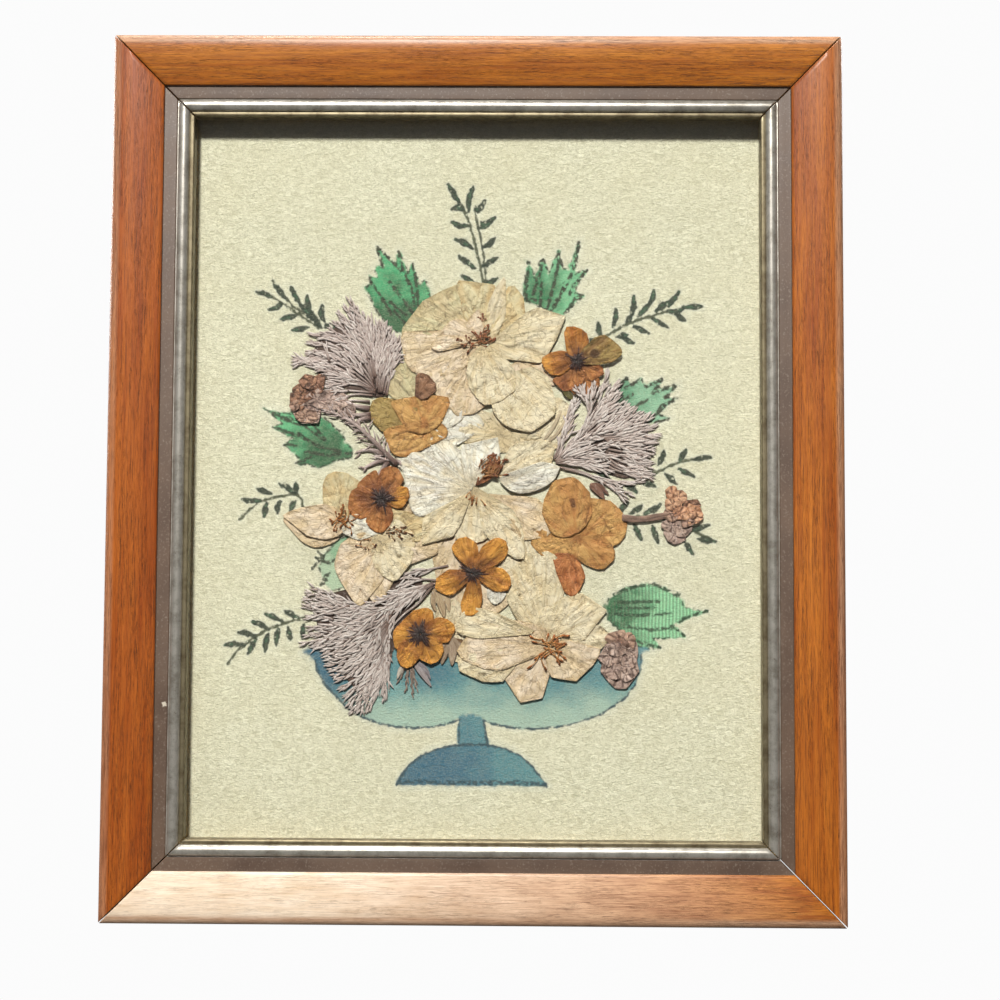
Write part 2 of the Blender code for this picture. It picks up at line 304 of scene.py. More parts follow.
def buildFibreGroup():
    # long fine streaks that follow a vector whose first part runs along the fibre, in mm
    group, given, result = newGroup(
        "longFibres", [("Vector", "Vector", None), ("Length", "Float", 30.0), ("Width", "Float", 0.5)],
        [("Streak", "Float"), ("Fine", "Float")])
    parts = addNode(group, "SeparateXYZ", {0: given.outputs["Vector"]})
    along = mathNode(group, "DIVIDE", parts.outputs[0], given.outputs["Length"])
    across = mathNode(group, "DIVIDE", parts.outputs[1], given.outputs["Width"])
    joined = addNode(group, "CombineXYZ", {0: along, 1: across, 2: parts.outputs[2]}).outputs[0]
    streak = noiseNode(group, joined, 1.0, 4.0, 0.6, 0.25)
    fine = noiseNode(group, stretched(group, joined, (3.0, 3.5, 1.0)), 1.0, 3.0, 0.65)
    group.links.new(streak, result.inputs["Streak"])
    group.links.new(fine, result.inputs["Fine"])
    return group


dustGroup = buildDustGroup()
fibreGroup = buildFibreGroup()
print("shared shader groups ready")

# The camera, the pale floor and the lamps.

view = {
    "place": (0.0119, -0.45785, 0.11705), "turn": (92.80, -0.30, 0.44), "lens": 49.0,
    "floorZ": -0.85, "wallY": 1.6, "sweep": 0.7, "side": 4.0,
    "keyPlace": (-0.22, -2.1, 1.68), "keySize": 0.34, "keyPower": 97.0,
    "fillPlace": (-0.75, -1.2, 0.62), "fillSize": 0.5, "fillPower": 0.5,
    "topPlace": (-0.15, -0.07, 1.25), "topSize": 0.3, "topPower": 12.0,
    "backPlaces": ((1.25, 1.25, 1.25), (-1.5, 0.9, 0.8)), "backSize": 0.8, "backPower": 26.0,
}


def aimed(made, place, target):
    made.location = place
    made.rotation_euler = (Vector(target) - Vector(place)).to_track_quat("-Z", "Y").to_euler()
    bpy.context.scene.collection.objects.link(made)
    return made


def makeCamera():
    lens = bpy.data.cameras.new("camera")
    lens.lens = view["lens"]
    lens.sensor_width = 36.0
    lens.clip_start = 0.01
    made = bpy.data.objects.new("camera", lens)
    made.location = view["place"]
    made.rotation_euler = [math.radians(a) for a in view["turn"]]
    bpy.context.scene.collection.objects.link(made)
    bpy.context.scene.camera = made


def makeLamp(name, place, size, power, colour):
    lamp = bpy.data.lights.new(name, "AREA")
    lamp.shape = "DISK"
    lamp.size = size
    lamp.energy = power
    lamp.color = colour
    return aimed(bpy.data.objects.new(name, lamp), place, (0.0, 0.0, middleZ))


def makeFloor():
    # a pale floor that sweeps up into a back wall
    profile = [(-3.0, view["floorZ"]), (view["wallY"] - view["sweep"], view["floorZ"])]
    for i in range(1, 13):
        a = math.radians(90 * i / 12)
        profile.append((view["wallY"] - view["sweep"] * (1 - math.sin(a)),
                        view["floorZ"] + view["sweep"] * (1 - math.cos(a))))
    profile.append((view["wallY"], 4.0))
    points = [(side * view["side"], y, z) for y, z in profile for side in (-1, 1)]
    faces = [[2 * i, 2 * i + 1, 2 * i + 3, 2 * i + 2] for i in range(len(profile) - 1)]
    floor = meshPiece("floor", points, faces)
    made, tree, shader = newMaterial("paleFloor", Roughness=0.9)
    shade = noiseNode(tree, placeNode(tree), 3.0, 2.0)
    tree.links.new(mixColour(tree, shade, (0.90, 0.90, 0.90), (0.94, 0.94, 0.94)),
                   shader.inputs["Base Color"])
    bright = addNode(tree, "Emission", {"Color": (1, 1, 1, 1), "Strength": 0.97})
    seen = addNode(tree, "LightPath").outputs["Is Camera Ray"]
    dim = addNode(tree, "BsdfDiffuse", {"Color": (0.14, 0.14, 0.14, 1)})
    mixed = addNode(tree, "MixShader", {0: seen, 1: dim.outputs[0], 2: bright.outputs[0]})
    tree.links.new(mixed.outputs[0], tree.nodes["Material Output"].inputs["Surface"])
    floor.data.materials.append(made)


def makeWorld():
    # soft room light: bright overhead, dimmer to the sides and dark underneath
    world = bpy.data.worlds.new("studio")
    bpy.context.scene.world = world
    world.use_nodes = True
    tree = world.node_tree
    back = tree.nodes["Background"]
    up = addNode(tree, "SeparateXYZ", {0: addNode(tree, "TexCoord").outputs["Generated"]}).outputs[2]
    height = rampNode(tree, up, -1.0, 1.0)
    shade = addNode(tree, "ValToRGB", {0: height})
    stops = shade.color_ramp.elements
    stops[0].position, stops[0].color = 0.40, (0.05, 0.048, 0.045, 1)
    stops[1].position, stops[1].color = 1.0, (0.95, 0.97, 1.0, 1)
    middle = stops.new(0.50)
    middle.color = (0.30, 0.29, 0.28, 1)
    above = stops.new(0.62)
    above.color = (0.70, 0.71, 0.73, 1)
    seen = addNode(tree, "LightPath").outputs["Is Camera Ray"]
    colour = mixColour(tree, seen, shade.outputs[0], (1.0, 1.0, 1.0))
    tree.links.new(colour, back.inputs["Color"])
    glossy = addNode(tree, "LightPath").outputs["Is Glossy Ray"]
    unseen = rampNode(tree, glossy, 0.0, 1.0, 0.07, 0.17)
    tree.links.new(mathNode(tree, "MAXIMUM", unseen, seen), back.inputs["Strength"])


makeCamera()
makeFloor()
makeWorld()
makeLamp("key", view["keyPlace"], view["keySize"], view["keyPower"], (1.0, 0.975, 0.93))
makeLamp("overhead", view["topPlace"], view["topSize"], view["topPower"], (1.0, 0.98, 0.95))
makeLamp("fill", view["fillPlace"], view["fillSize"], view["fillPower"], (0.95, 0.97, 1.0))
for place in view["backPlaces"]:
    makeLamp("behind", place, view["backSize"], view["backPower"], (1.0, 0.98, 0.95))
bpy.context.scene.view_settings.view_transform = "Standard"
print("camera, floor and light ready")

# The moulding, in mm: one section, run along each side of the frame.

moulding = {
    "width": 27.0, "depth": 19.0, "rebate": 19.85, "ledge": 11.4, "corner": 2.6,
    "faceFall": 2.0, "faceStart": 3.6, "faceEnd": 15.4, "woodEnd": 16.9,
    "beadFoot": 15.0, "beadMiddle": 23.5, "beadHalf": 1.9, "beadRise": 1.6,
    "rings": 90, "cutBevel": 0.28, "mitreGap": 0.05, "wander": 0.035,
}
railTurns = {"bottom": 0.0, "left": 90.0, "top": 180.0, "right": -90.0}
# Each rail's tone from one end to the other. Below 1 it mixes russet into golden wood, and the sides
# differ partly in the wood and partly as painted light, each rail lighter or darker as the light fell on
# it. Above 1 it mixes in pale honey, a painted glare on the bottom rail that fades from left to right.
railToneAndPaintedLight = {"bottom": (2.35, 1.0), "left": (0.15, 0.15), "top": (0.95, 0.85), "right": (0.50, 0.45)}
sectionZones = ("wood", "taupe", "bead", "gilt", "raw")


def railSection():
    # (inwards, forwards from the back, zone of the strip that starts here), round the whole section
    m = moulding
    shoulder = m["depth"] - m["corner"] - 0.1
    points = [(0.0, 0.0, "wood"), (0.0, 5.0, "wood"), (0.0, 11.0, "wood")]
    for i in range(11):
        a = math.radians(180 - 9 * i)
        points.append((m["corner"] * (1 + math.cos(a)), shoulder + m["corner"] * math.sin(a), "wood"))
    run = m["faceEnd"] - m["faceStart"]
    for i in range(9):
        t = i / 8
        points.append((m["faceStart"] + run * t, m["depth"] - m["faceFall"] * t ** 1.7, "wood"))
    low = m["depth"] - m["faceFall"]
    points += [(16.0, low - 0.16, "wood"), (16.5, low - 0.35, "wood"), (16.75, low - 0.55, "wood"),
               (m["woodEnd"], low - 0.8, "taupe")]
    foot = m["beadFoot"]
    points += [(17.05, foot + 0.62, "taupe"), (17.6, foot + 0.56, "taupe"), (19.0, foot + 0.5, "taupe"),
               (20.4, foot + 0.42, "taupe"), (21.0, foot + 0.35, "taupe"), (21.12, foot + 0.1, "taupe"),
               (21.25, foot, "bead")]
    for i in range(19):
        a = math.radians(180 - 10 * i)
        points.append((m["beadMiddle"] + m["beadHalf"] * math.cos(a),
                       foot + m["beadRise"] * math.sin(a), "bead" if i < 18 else "gilt"))
    points += [(25.55, foot + 0.02, "gilt"), (25.7, foot + 0.15, "gilt"), (26.2, foot + 0.17, "gilt"),
               (26.7, foot + 0.15, "gilt"), (26.9, foot + 0.02, "gilt"), (m["width"], foot - 0.2, "gilt"),
               (m["width"], foot - 1.8, "gilt"), (m["width"], m["ledge"], "raw"),
               (m["rebate"], m["ledge"], "raw"), (m["rebate"], 5.0, "raw"), (m["rebate"], 0.0, "raw"),
               (10.0, 0.0, "raw")]
    return points


def makeRail(side, finishes):
    low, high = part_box("rail_" + side)
    upright = side in ("left", "right")
    length = ((high.z - low.z) if upright else (high.x - low.x)) / mm
    half = (cadBox[1].x - cadBox[0].x if upright else cadBox[1].z - cadBox[0].z) / mm / 2
    backY = high.y if side != "top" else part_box("rail_bottom")[1].y
    section = railSection()
    outline = np.array([(u, w) for u, w, _ in section])
    steps = np.hypot(*np.diff(outline, axis=0, append=outline[:1]).T)
    girth = np.concatenate([[0], np.cumsum(steps)[:-1]])
    bevel = 2 * moulding["cutBevel"] / length
    rings = [-1.0, -1.0 + bevel] + list(np.linspace(-0.985, 0.985, moulding["rings"])) + [1.0 - bevel,
                                                                                          1.0]
    seed = 11 + list(railTurns).index(side)
    points, grain = [], []
    for t in rings:
        dropped = 0.16 if abs(t) == 1.0 else 0.0
        x = t * (length / 2 - outline[:, 0] - moulding["mitreGap"])
        front = outline[:, 1] > moulding["ledge"] + 0.5
        wave = (softNoise(x, girth, 24.0, seed) - 0.5) * moulding["wander"] * 2
        w = outline[:, 1] + np.where(front, np.minimum(wave, 0.0) - dropped, 0.0)
        points.append(np.stack([x, -w, outline[:, 0] - half], 1))
        # the grain vector's third number is this rail's tone, painted light included
        first, last = railToneAndPaintedLight[side]
        grain.append(np.stack([x, girth, np.full(len(x), first + (last - first) * (t + 1) / 2)], 1))
    points = np.concatenate(points) * mm
    points[:, 1] += backY
    turn = math.radians(railTurns[side])
    cos, sin = math.cos(turn), math.sin(turn)
    turned = np.stack([points[:, 0] * cos + points[:, 2] * sin, points[:, 1],
                       middleZ - points[:, 0] * sin + points[:, 2] * cos], 1)
    count, faces, zones = len(section), [], []
    for r in range(len(rings) - 1):
        for i in range(count):
            after = (i + 1) % count
            faces.append([r * count + i, r * count + after, (r + 1) * count + after, (r + 1) * count + i])
            zones.append(sectionZones.index(section[i][2]))
    faces += [list(range(count))[::-1], [(len(rings) - 1) * count + i for i in range(count)]]
    zones += [sectionZones.index("raw")] * 2
    rail = meshPiece("rail" + side.capitalize(), turned, faces, sharp=38)
    fixNormals(rail)
    storeVector(rail, "grain", np.concatenate(grain))
    for finish in finishes:
        rail.data.materials.append(finish)
    rail.data.polygons.foreach_set("material_index", zones)
    standFor(rail, "moulding", "rail_" + side)
    return rail


def fixNormals(piece):
    work = bmesh.new()
    work.from_mesh(piece.data)
    bmesh.ops.recalc_face_normals(work, faces=work.faces)
    work.to_mesh(piece.data)
    work.free()


def woodFinish(lacquered):
    plain = dict(Coat_Weight=0.22, Coat_Roughness=0.30, Specular_IOR_Level=0.22) if lacquered else {}
    made, tree, shader = newMaterial("lacqueredWood" if lacquered else "bareWood", **plain)
    grain = attributeNode(tree, "grain")
    tone = addNode(tree, "SeparateXYZ", {0: grain.outputs["Vector"]}).outputs[2]
    seeded = addNode(tree, "VectorMath", {0: grain.outputs["Vector"], 1: (1.0, 1.0, 9.0)},
                     operation="MULTIPLY").outputs[0]
    broad = useGroup(tree, fibreGroup, {"Vector": seeded, "Length": 95.0, "Width": 6.5})
    lines = useGroup(tree, fibreGroup, {"Vector": seeded, "Length": 34.0, "Width": 0.95})
    pores = useGroup(tree, fibreGroup, {"Vector": seeded, "Length": 9.0, "Width": 0.26})
    band = mathNode(tree, "ADD", mathNode(tree, "MULTIPLY", broad.outputs["Streak"], 0.6),
                    mathNode(tree, "MULTIPLY", lines.outputs["Streak"], 0.4))
    band = rampNode(tree, band, 0.34, 0.66)
    if lacquered:
        golden = mixColour(tree, band, srgb(146, 71, 9), srgb(197, 124, 34))
        russet = mixColour(tree, band, srgb(131, 52, 7), srgb(178, 91, 21))
        # painted highlight: the pale honey is the glare on the bottom rail, mixed in where the tone is
        # above 1
        paintedGlareHoney = mixColour(tree, band, srgb(216, 190, 160), srgb(242, 226, 206))
        colour = mixColour(tree, tone, russet, golden)
        colour = mixColour(tree, rampNode(tree, tone, 1.0, 2.0), colour, paintedGlareHoney)
        # painted highlight: the rounded outer corner is mixed paler, as the gloss on it would look, more
        # so on the rails of higher tone
        girth = addNode(tree, "SeparateXYZ", {0: grain.outputs["Vector"]}).outputs[1]
        corner = mathNode(tree, "MULTIPLY", rampNode(tree, girth, 16.6, 18.2),
                          rampNode(tree, girth, 21.4, 20.2))
        paintedCornerSheen = mathNode(tree, "MULTIPLY", corner,
                          rampNode(tree, broad.outputs["Fine"], 0.25, 0.6, 0.45, 0.95))
        paintedCornerSheen = mathNode(tree, "MULTIPLY", paintedCornerSheen, rampNode(tree, tone, 0.2, 0.9, 0.5, 1.0))
        colour = mixColour(tree, paintedCornerSheen, colour, srgb(186, 148, 118))
    else:
        colour = mixColour(tree, band, srgb(176, 142, 100), srgb(206, 178, 136))
    streakMask = rampNode(tree, lines.outputs["Fine"], 0.50, 0.64)
    # grain streaks are fainter where the painted glare lies
    depth = rampNode(tree, tone, 1.0, 2.0, 0.66, 0.22)
    colour = mixColour(tree, mathNode(tree, "MULTIPLY", streakMask, depth), colour, srgb(95, 45, 12))
    poreMask = rampNode(tree, pores.outputs["Fine"], 0.54, 0.60)
    where = rampNode(tree, broad.outputs["Fine"], 0.42, 0.58)
    poreMask = mathNode(tree, "MULTIPLY", poreMask,
                        mathNode(tree, "ADD", mathNode(tree, "MULTIPLY", where, 0.6), 0.25))
    # pores are fainter under the painted glare
    poreMask = mathNode(tree, "MULTIPLY", poreMask, rampNode(tree, tone, 1.0, 2.0, 1.0, 0.5))
    colour = mixColour(tree, poreMask, colour, srgb(50, 23, 10))
    amount = 0.015 if lacquered else 0.3
    dusted = useGroup(tree, dustGroup, {"Vector": placeNode(tree), "Colour": colour, "Amount": amount,
                                        "Speck Size": 700.0})
    tree.links.new(dusted.outputs[0], shader.inputs["Base Color"])
    rough = (0.42, 0.58) if lacquered else (0.75, 0.9)
    tree.links.new(rampNode(tree, lines.outputs["Streak"], 0.3, 0.7, *rough), shader.inputs["Roughness"])
    height = mathNode(tree, "SUBTRACT", mathNode(tree, "MULTIPLY", lines.outputs["Streak"], 0.5),
                      poreMask)
    bumpInto(tree, shader, height, 0.45, 0.20)
    return made


def taupeFinish():
    # satin paint with a fine speckle, chipped through to pale gesso in one place on the left
    made, tree, shader = newMaterial("taupePaint", Coat_Weight=0.15, Coat_Roughness=0.3)
    place = placeNode(tree)
    grain = attributeNode(tree, "grain").outputs["Vector"]
    streak = useGroup(tree, fibreGroup, {"Vector": grain, "Length": 22.0, "Width": 0.6})
    patch = noiseNode(tree, place, 60.0, 4.0)
    colour = mixColour(tree, rampNode(tree, patch, 0.3, 0.7), srgb(75, 55, 43), srgb(94, 72, 56))
    speck = rampNode(tree, noiseNode(tree, place, 1400.0, 2.0), 0.58, 0.72)
    colour = mixColour(tree, mathNode(tree, "MULTIPLY", speck, 0.5), colour, srgb(138, 125, 112))
    dark = rampNode(tree, streak.outputs["Fine"], 0.60, 0.74)
    colour = mixColour(tree, mathNode(tree, "MULTIPLY", dark, 0.4), colour, srgb(56, 45, 37))
    chip = addNode(tree, "VectorMath", {0: place, 1: (-0.1021, -0.0072, 0.0712)}, operation="DISTANCE")
    ragged = mathNode(tree, "MULTIPLY", noiseNode(tree, place, 900.0, 3.0), 0.0016)
    chipMask = rampNode(tree, mathNode(tree, "ADD", chip.outputs["Value"], ragged), 0.0018, 0.0015)
    colour = mixColour(tree, chipMask, colour, srgb(196, 187, 170))
    dusted = useGroup(tree, dustGroup,
                      {"Vector": place, "Colour": colour, "Amount": 0.06, "Speck Size": 1100.0})
    tree.links.new(dusted.outputs[0], shader.inputs["Base Color"])
    tree.links.new(rampNode(tree, patch, 0.3, 0.7, 0.42, 0.58), shader.inputs["Roughness"])
    bumpInto(tree, shader, mathNode(tree, "SUBTRACT", streak.outputs["Fine"], chipMask), 0.25, 0.12)
    return made


def leafFinish(name, bright, dull, worn, roughLow, roughHigh):
    # metal leaf over gesso, rubbed and speckled with tarnish
    made, tree, shader = newMaterial(name)
    place = placeNode(tree)
    grain = attributeNode(tree, "grain").outputs["Vector"]
    streak = useGroup(tree, fibreGroup, {"Vector": grain, "Length": 14.0, "Width": 0.45})
    patch = noiseNode(tree, place, 220.0, 5.0, 0.7)
    colour = mixColour(tree, rampNode(tree, patch, 0.42, 0.66), bright, dull)
    tarnish = rampNode(tree, noiseNode(tree, place, 1300.0, 3.0, 0.7), 0.60, 0.70)
    wornMask = mathNode(tree, "MULTIPLY", tarnish, rampNode(tree, patch, 0.35, 0.6))
    colour = mixColour(tree, mathNode(tree, "MULTIPLY", wornMask, 0.7), colour, worn)
    tree.links.new(colour, shader.inputs["Base Color"])
    tree.links.new(rampNode(tree, wornMask, 0.0, 1.0, 0.62, 0.2), shader.inputs["Metallic"])
    tree.links.new(rampNode(tree, streak.outputs["Fine"], 0.3, 0.7, roughLow, roughHigh),
                   shader.inputs["Roughness"])
    bumpInto(tree, shader, streak.outputs["Fine"], 0.2, 0.05)
    return made


def makeRails():
    finishes = [
        woodFinish(True),
        taupeFinish(),
        leafFinish("silverLeaf", srgb(184, 180, 171), srgb(144, 139, 128), srgb(62, 52, 42), 0.26, 0.40),
        leafFinish("giltLeaf", srgb(129, 119, 94), srgb(94, 83, 61), srgb(58, 46, 30), 0.34, 0.50),
        woodFinish(False),
    ]
    for side in railTurns:
        makeRail(side, finishes)


makeRails()
print("rails ready")


# The glass in front, and the board, points and hanger behind.

pane = {"bevel": 0.25, "ior": 1.5, "rough": 0.0, "tint": (0.985, 1.0, 0.99)}


def makeGlass():
    low, high = glassLow, glassHigh
    work = bmesh.new()
    bmesh.ops.create_cube(work, size=1.0)
    bmesh.ops.scale(work, vec=high - low, verts=work.verts)
    bmesh.ops.translate(work, vec=(low + high) / 2, verts=work.verts)
    bmesh.ops.bevel(work, geom=work.edges, offset=pane["bevel"] * mm, segments=2, affect="EDGES")
    mesh = bpy.data.meshes.new("glassPane")
    work.to_mesh(mesh)
    work.free()
    glass = bpy.data.objects.new("glassPane", mesh)
    bpy.context.scene.collection.objects.link(glass)
    made, tree, shader = newMaterial("clearGlass", Transmission_Weight=1.0, IOR=pane["ior"],
                                     Roughness=pane["rough"])
    smear = rampNode(tree, noiseNode(tree, stretched(tree, placeNode(tree), (9.0, 9.0, 22.0)), 1.0, 4.0),
                     0.3, 0.8)
    tree.links.new(mixColour(tree, smear, pane["tint"], (0.965, 0.985, 0.97)),
                   shader.inputs["Base Color"])
    shadow = addNode(tree, "LightPath").outputs["Is Shadow Ray"]
    clear = addNode(tree, "BsdfTransparent", {"Color": (0.95, 0.965, 0.955, 1)})
    mixed = addNode(tree, "MixShader", {0: shadow, 1: shader.outputs[0], 2: clear.outputs[0]})
    tree.links.new(mixed.outputs[0], tree.nodes["Material Output"].inputs["Surface"])
    glass.data.materials.append(made)
    glass.visible_diffuse = False  # its shadow rays already bring the lamps in, so they count once
    standFor(glass, "glass", "glass_pane")


def boardFinish():
    # brown hardboard: short pressed fibres, scuffed lighter and darker
    made, tree, shader = newMaterial("pressedBoard", Specular_IOR_Level=0.3)
    place = placeNode(tree)
    fibre = noiseNode(tree, stretched(tree, place, (900.0, 900.0, 260.0)), 1.0, 4.0, 0.7, 0.6)
    cloud = noiseNode(tree, place, 26.0, 4.0)
    colour = mixColour(tree, rampNode(tree, fibre, 0.35, 0.68), srgb(104, 76, 50), srgb(148, 114, 80))
    colour = mixColour(tree, rampNode(tree, cloud, 0.40, 0.72, 0.0, 0.45), colour, srgb(84, 60, 40))
    dusted = useGroup(tree, dustGroup,
                      {"Vector": place, "Colour": colour, "Amount": 0.25, "Speck Size": 800.0})
    tree.links.new(dusted.outputs[0], shader.inputs["Base Color"])
    tree.links.new(rampNode(tree, fibre, 0.3, 0.7, 0.62, 0.86), shader.inputs["Roughness"])
    bumpInto(tree, shader, fibre, 0.5, 0.12)
    return made


def steelFinish():
    # plated steel with fine rolling marks and a little dull bloom
    made, tree, shader = newMaterial("platedSteel", Metallic=1.0)
    place = placeNode(tree)
    rolled = noiseNode(tree, stretched(tree, place, (320.0, 900.0, 4200.0)), 1.0, 3.0)
    bloom = noiseNode(tree, place, 520.0, 4.0, 0.65)
    colour = mixColour(tree, rampNode(tree, bloom, 0.42, 0.70), srgb(198, 192, 180), srgb(138, 126, 108))
    rust = rampNode(tree, noiseNode(tree, place, 1500.0, 3.0), 0.66, 0.74)
    colour = mixColour(tree, mathNode(tree, "MULTIPLY", rust, 0.6), colour, srgb(120, 78, 46))
    tree.links.new(colour, shader.inputs["Base Color"])
    tree.links.new(rampNode(tree, rolled, 0.3, 0.7, 0.26, 0.48), shader.inputs["Roughness"])
    bumpInto(tree, shader, rolled, 0.2, 0.04)
    return made


def finishHardware():
    board, steel = boardFinish(), steelFinish()
    nodes["backing_board"].data.materials[0] = board
    metalNodes = ["sawtooth_hanger", "hanger_nail_left", "hanger_nail_right"]
    metalNodes += [f"point_{side}_{end}" for side in railTurns for end in "ab"]
    for name in metalNodes:
        nodes[name].data.materials[0] = steel


makeGlass()
finishHardware()
print("glass and back ready")

# The cloth, with the bowl, leaves and sprigs dyed in it.

# its darkest brown is the colour of the painted shadow under the top lip
cloth = {
    "coarse": 1.7, "middle": 0.85, "fine": 0.36, "fineReach": 0.55, "wave": 0.10,
    "halo": srgb(230, 230, 214), "blueInk": srgb(26, 66, 82), "paintedLipShadow": srgb(74, 64, 44),
}
leafInk = dict(ink=srgb(30, 36, 18), wide=0.54, broken=0.34)
ribInk = dict(ink=srgb(14, 60, 34), wide=0.50, broken=0.36)
fineInk = dict(ink=srgb(26, 40, 22), wide=0.48, broken=0.30)

# Printed leaves: outline, dye at the foot and at the tips, where the foot is, then vein strokes.
leaves = [
    dict(edge=[(-25, 48), (-20.5, 51), (-17, 53), (-15.6, 57), (-16, 61), (-17.6, 67.5), (-19.4, 65),
               (-22, 72), (-23.4, 69), (-26.6, 76.5), (-28, 72), (-34.2, 78), (-32, 71.5), (-35, 70.6),
               (-34, 67.5), (-36.6, 68.2), (-35.6, 65), (-38, 64.4), (-36, 60), (-34, 56), (-31, 52),
               (-28, 49.5)],
         foot=(-26, 50), deep=srgb(0, 90, 48), pale=srgb(75, 179, 122), reach=25, ink=leafInk,
         veins=[[(-29.8, 66), (-26, 61)], [(-29.4, 59), (-24, 54.6)], [(-28, 56), (-24.6, 52)],
                [(-34, 78), (-30, 74), (-25.6, 70)], [(-26.8, 76.5), (-25.4, 71), (-22.4, 64), (-21, 58)],
                [(-22, 72), (-20.4, 65), (-20, 57)], [(-33.8, 77), (-32, 71)],
                [(-25, 60), (-21.6, 55), (-20, 52)], [(-36, 66), (-32, 60), (-29, 55)]]),
    dict(edge=[(15.8, 60), (16.4, 66), (17.2, 73), (18.4, 72), (19.6, 68), (21.8, 73.8), (23, 73),
               (24.4, 69), (27.8, 77), (28.4, 74), (29.2, 71), (31, 70.5), (34.8, 80), (34.2, 76),
               (33.2, 69), (37.4, 70.4), (34.4, 66), (33.4, 62.6), (36.2, 61.6), (32.4, 57.6), (28.6, 54),
               (24, 56.4), (20.6, 58.4)],
         foot=(20.5, 63), deep=srgb(30, 122, 76), pale=srgb(126, 200, 150), reach=14, ink=leafInk,
         veins=[[(16.6, 60.4), (17, 66), (17.6, 73)], [(19.2, 62), (21, 68), (22.6, 73.6)],
                [(21.6, 58), (22, 66)],
                [(24, 57), (26, 64.6), (27.6, 71), (28, 76.6)],
                [(26, 58), (31, 66), (33, 72), (34.8, 79.6)],
                [(27, 50.4), (30, 55), (33.4, 60.4), (36, 61.8)], [(31.6, 62), (34, 66.4), (37.2, 70.2)],
                [(25, 56), (28, 60), (30, 66)], [(20, 60), (16, 60)]]),
    dict(edge=[(45, 29), (48, 31), (51, 33.6), (52.6, 31), (56, 33.2), (57.4, 30.6), (62.6, 33), (62, 30),
               (68.4, 31.3), (66, 28.6), (64, 27.2), (68, 26.4), (64, 24), (61.6, 21.2), (65.6, 19.8),
               (60, 18.2), (55, 19), (50, 22), (46, 25)],
         foot=(47, 27), deep=srgb(86, 152, 116), pale=srgb(150, 198, 164), reach=15, ink=leafInk,
         veins=[[(47.6, 29), (51, 33.4)], [(50.6, 30), (56, 33.2)], [(58, 30.6), (62.8, 33)],
                [(60, 28.4), (62.6, 32.6)],
                [(62, 29), (68.4, 31.2)], [(64, 27), (66, 28.6)], [(49, 25), (53, 28)],
                [(53, 23.4), (58, 26)],
                [(60, 20), (63, 24), (68, 26.4)], [(60.4, 18), (65.4, 19.8)], [(47.4, 28), (50, 27)]]),
    dict(edge=[(-72, 22.6), (-66, 21), (-60, 20.6), (-52, 20), (-48.6, 17), (-45.8, 14.6), (-44, 11),
               (-41.6, 8.6), (-42, 6), (-48, 4.8), (-53, 2.4), (-57, 3.6), (-60.4, 3.6), (-59.6, 5.4),
               (-62, 8), (-65, 10.2), (-62, 12.4), (-66, 14.4), (-69, 16.2), (-65.6, 17.6)],
         foot=(-52, 8), deep=srgb(12, 95, 54), pale=srgb(98, 190, 134), reach=17, ink=fineInk,
         veins=[[(-72, 22.6), (-67, 20), (-61, 18.6)], [(-69, 16.2), (-64, 14.6), (-57, 12)],
                [(-65, 10.2), (-61, 10)],
                [(-61, 4), (-56, 6)], [(-66, 19), (-58, 16.6), (-52, 12)],
                [(-60, 14), (-54, 10), (-46, 8)],
                [(-56, 18), (-51, 12)], [(-58, 8), (-50, 6.6), (-42, 7.6)], [(-55, 20), (-59, 21)]]),
    dict(edge=[(-41, -20), (-46, -21.6), (-50.5, -26.5), (-52.6, -31), (-51, -36.4), (-48.6, -39),
               (-43, -38), (-38, -30)],
         foot=(-42, -21), deep=srgb(132, 180, 140), pale=srgb(188, 210, 178), reach=13, ink=fineInk,
         veins=[[(-53.6, -28), (-50, -29.6), (-46.6, -28.4)], [(-55, -31.6), (-52.6, -29)],
                [(-51, -34.6), (-49, -33)],
                [(-52, -37), (-50.2, -35.4)], [(-53, -26), (-51.4, -27.6)]]),
    dict(edge=[(43.4, -44), (45.6, -40.6), (50.6, -37.6), (58, -36.2), (64, -37.6), (69.4, -41.4),
               (70.4, -44), (78, -45.3), (70.4, -48), (67, -50), (70.6, -53.8), (64.4, -54.4),
               (60, -54.4), (62.4, -57.8), (55, -57.4), (51.6, -54), (47.6, -51), (44.6, -48)],
         foot=(45, -44), deep=srgb(14, 100, 58), pale=srgb(152, 216, 166), reach=21, ink=ribInk,
         ribs=True,
         veins=[[(48, -42.4), (55, -42.2), (62, -42)], [(45.6, -46.4), (56, -46.8), (66, -46)],
                [(50, -50.4), (58, -51.6), (66, -51)], [(70, -47.6), (78, -45.2)],
                [(66, -50), (70.6, -53.6)],
                [(52, -54.6), (62.4, -57.6)], [(47, -39.6), (54, -37), (60, -36.4)],
                [(60, -36), (69, -40)],
                [(49, -44.4), (60, -44.2)]]),
]

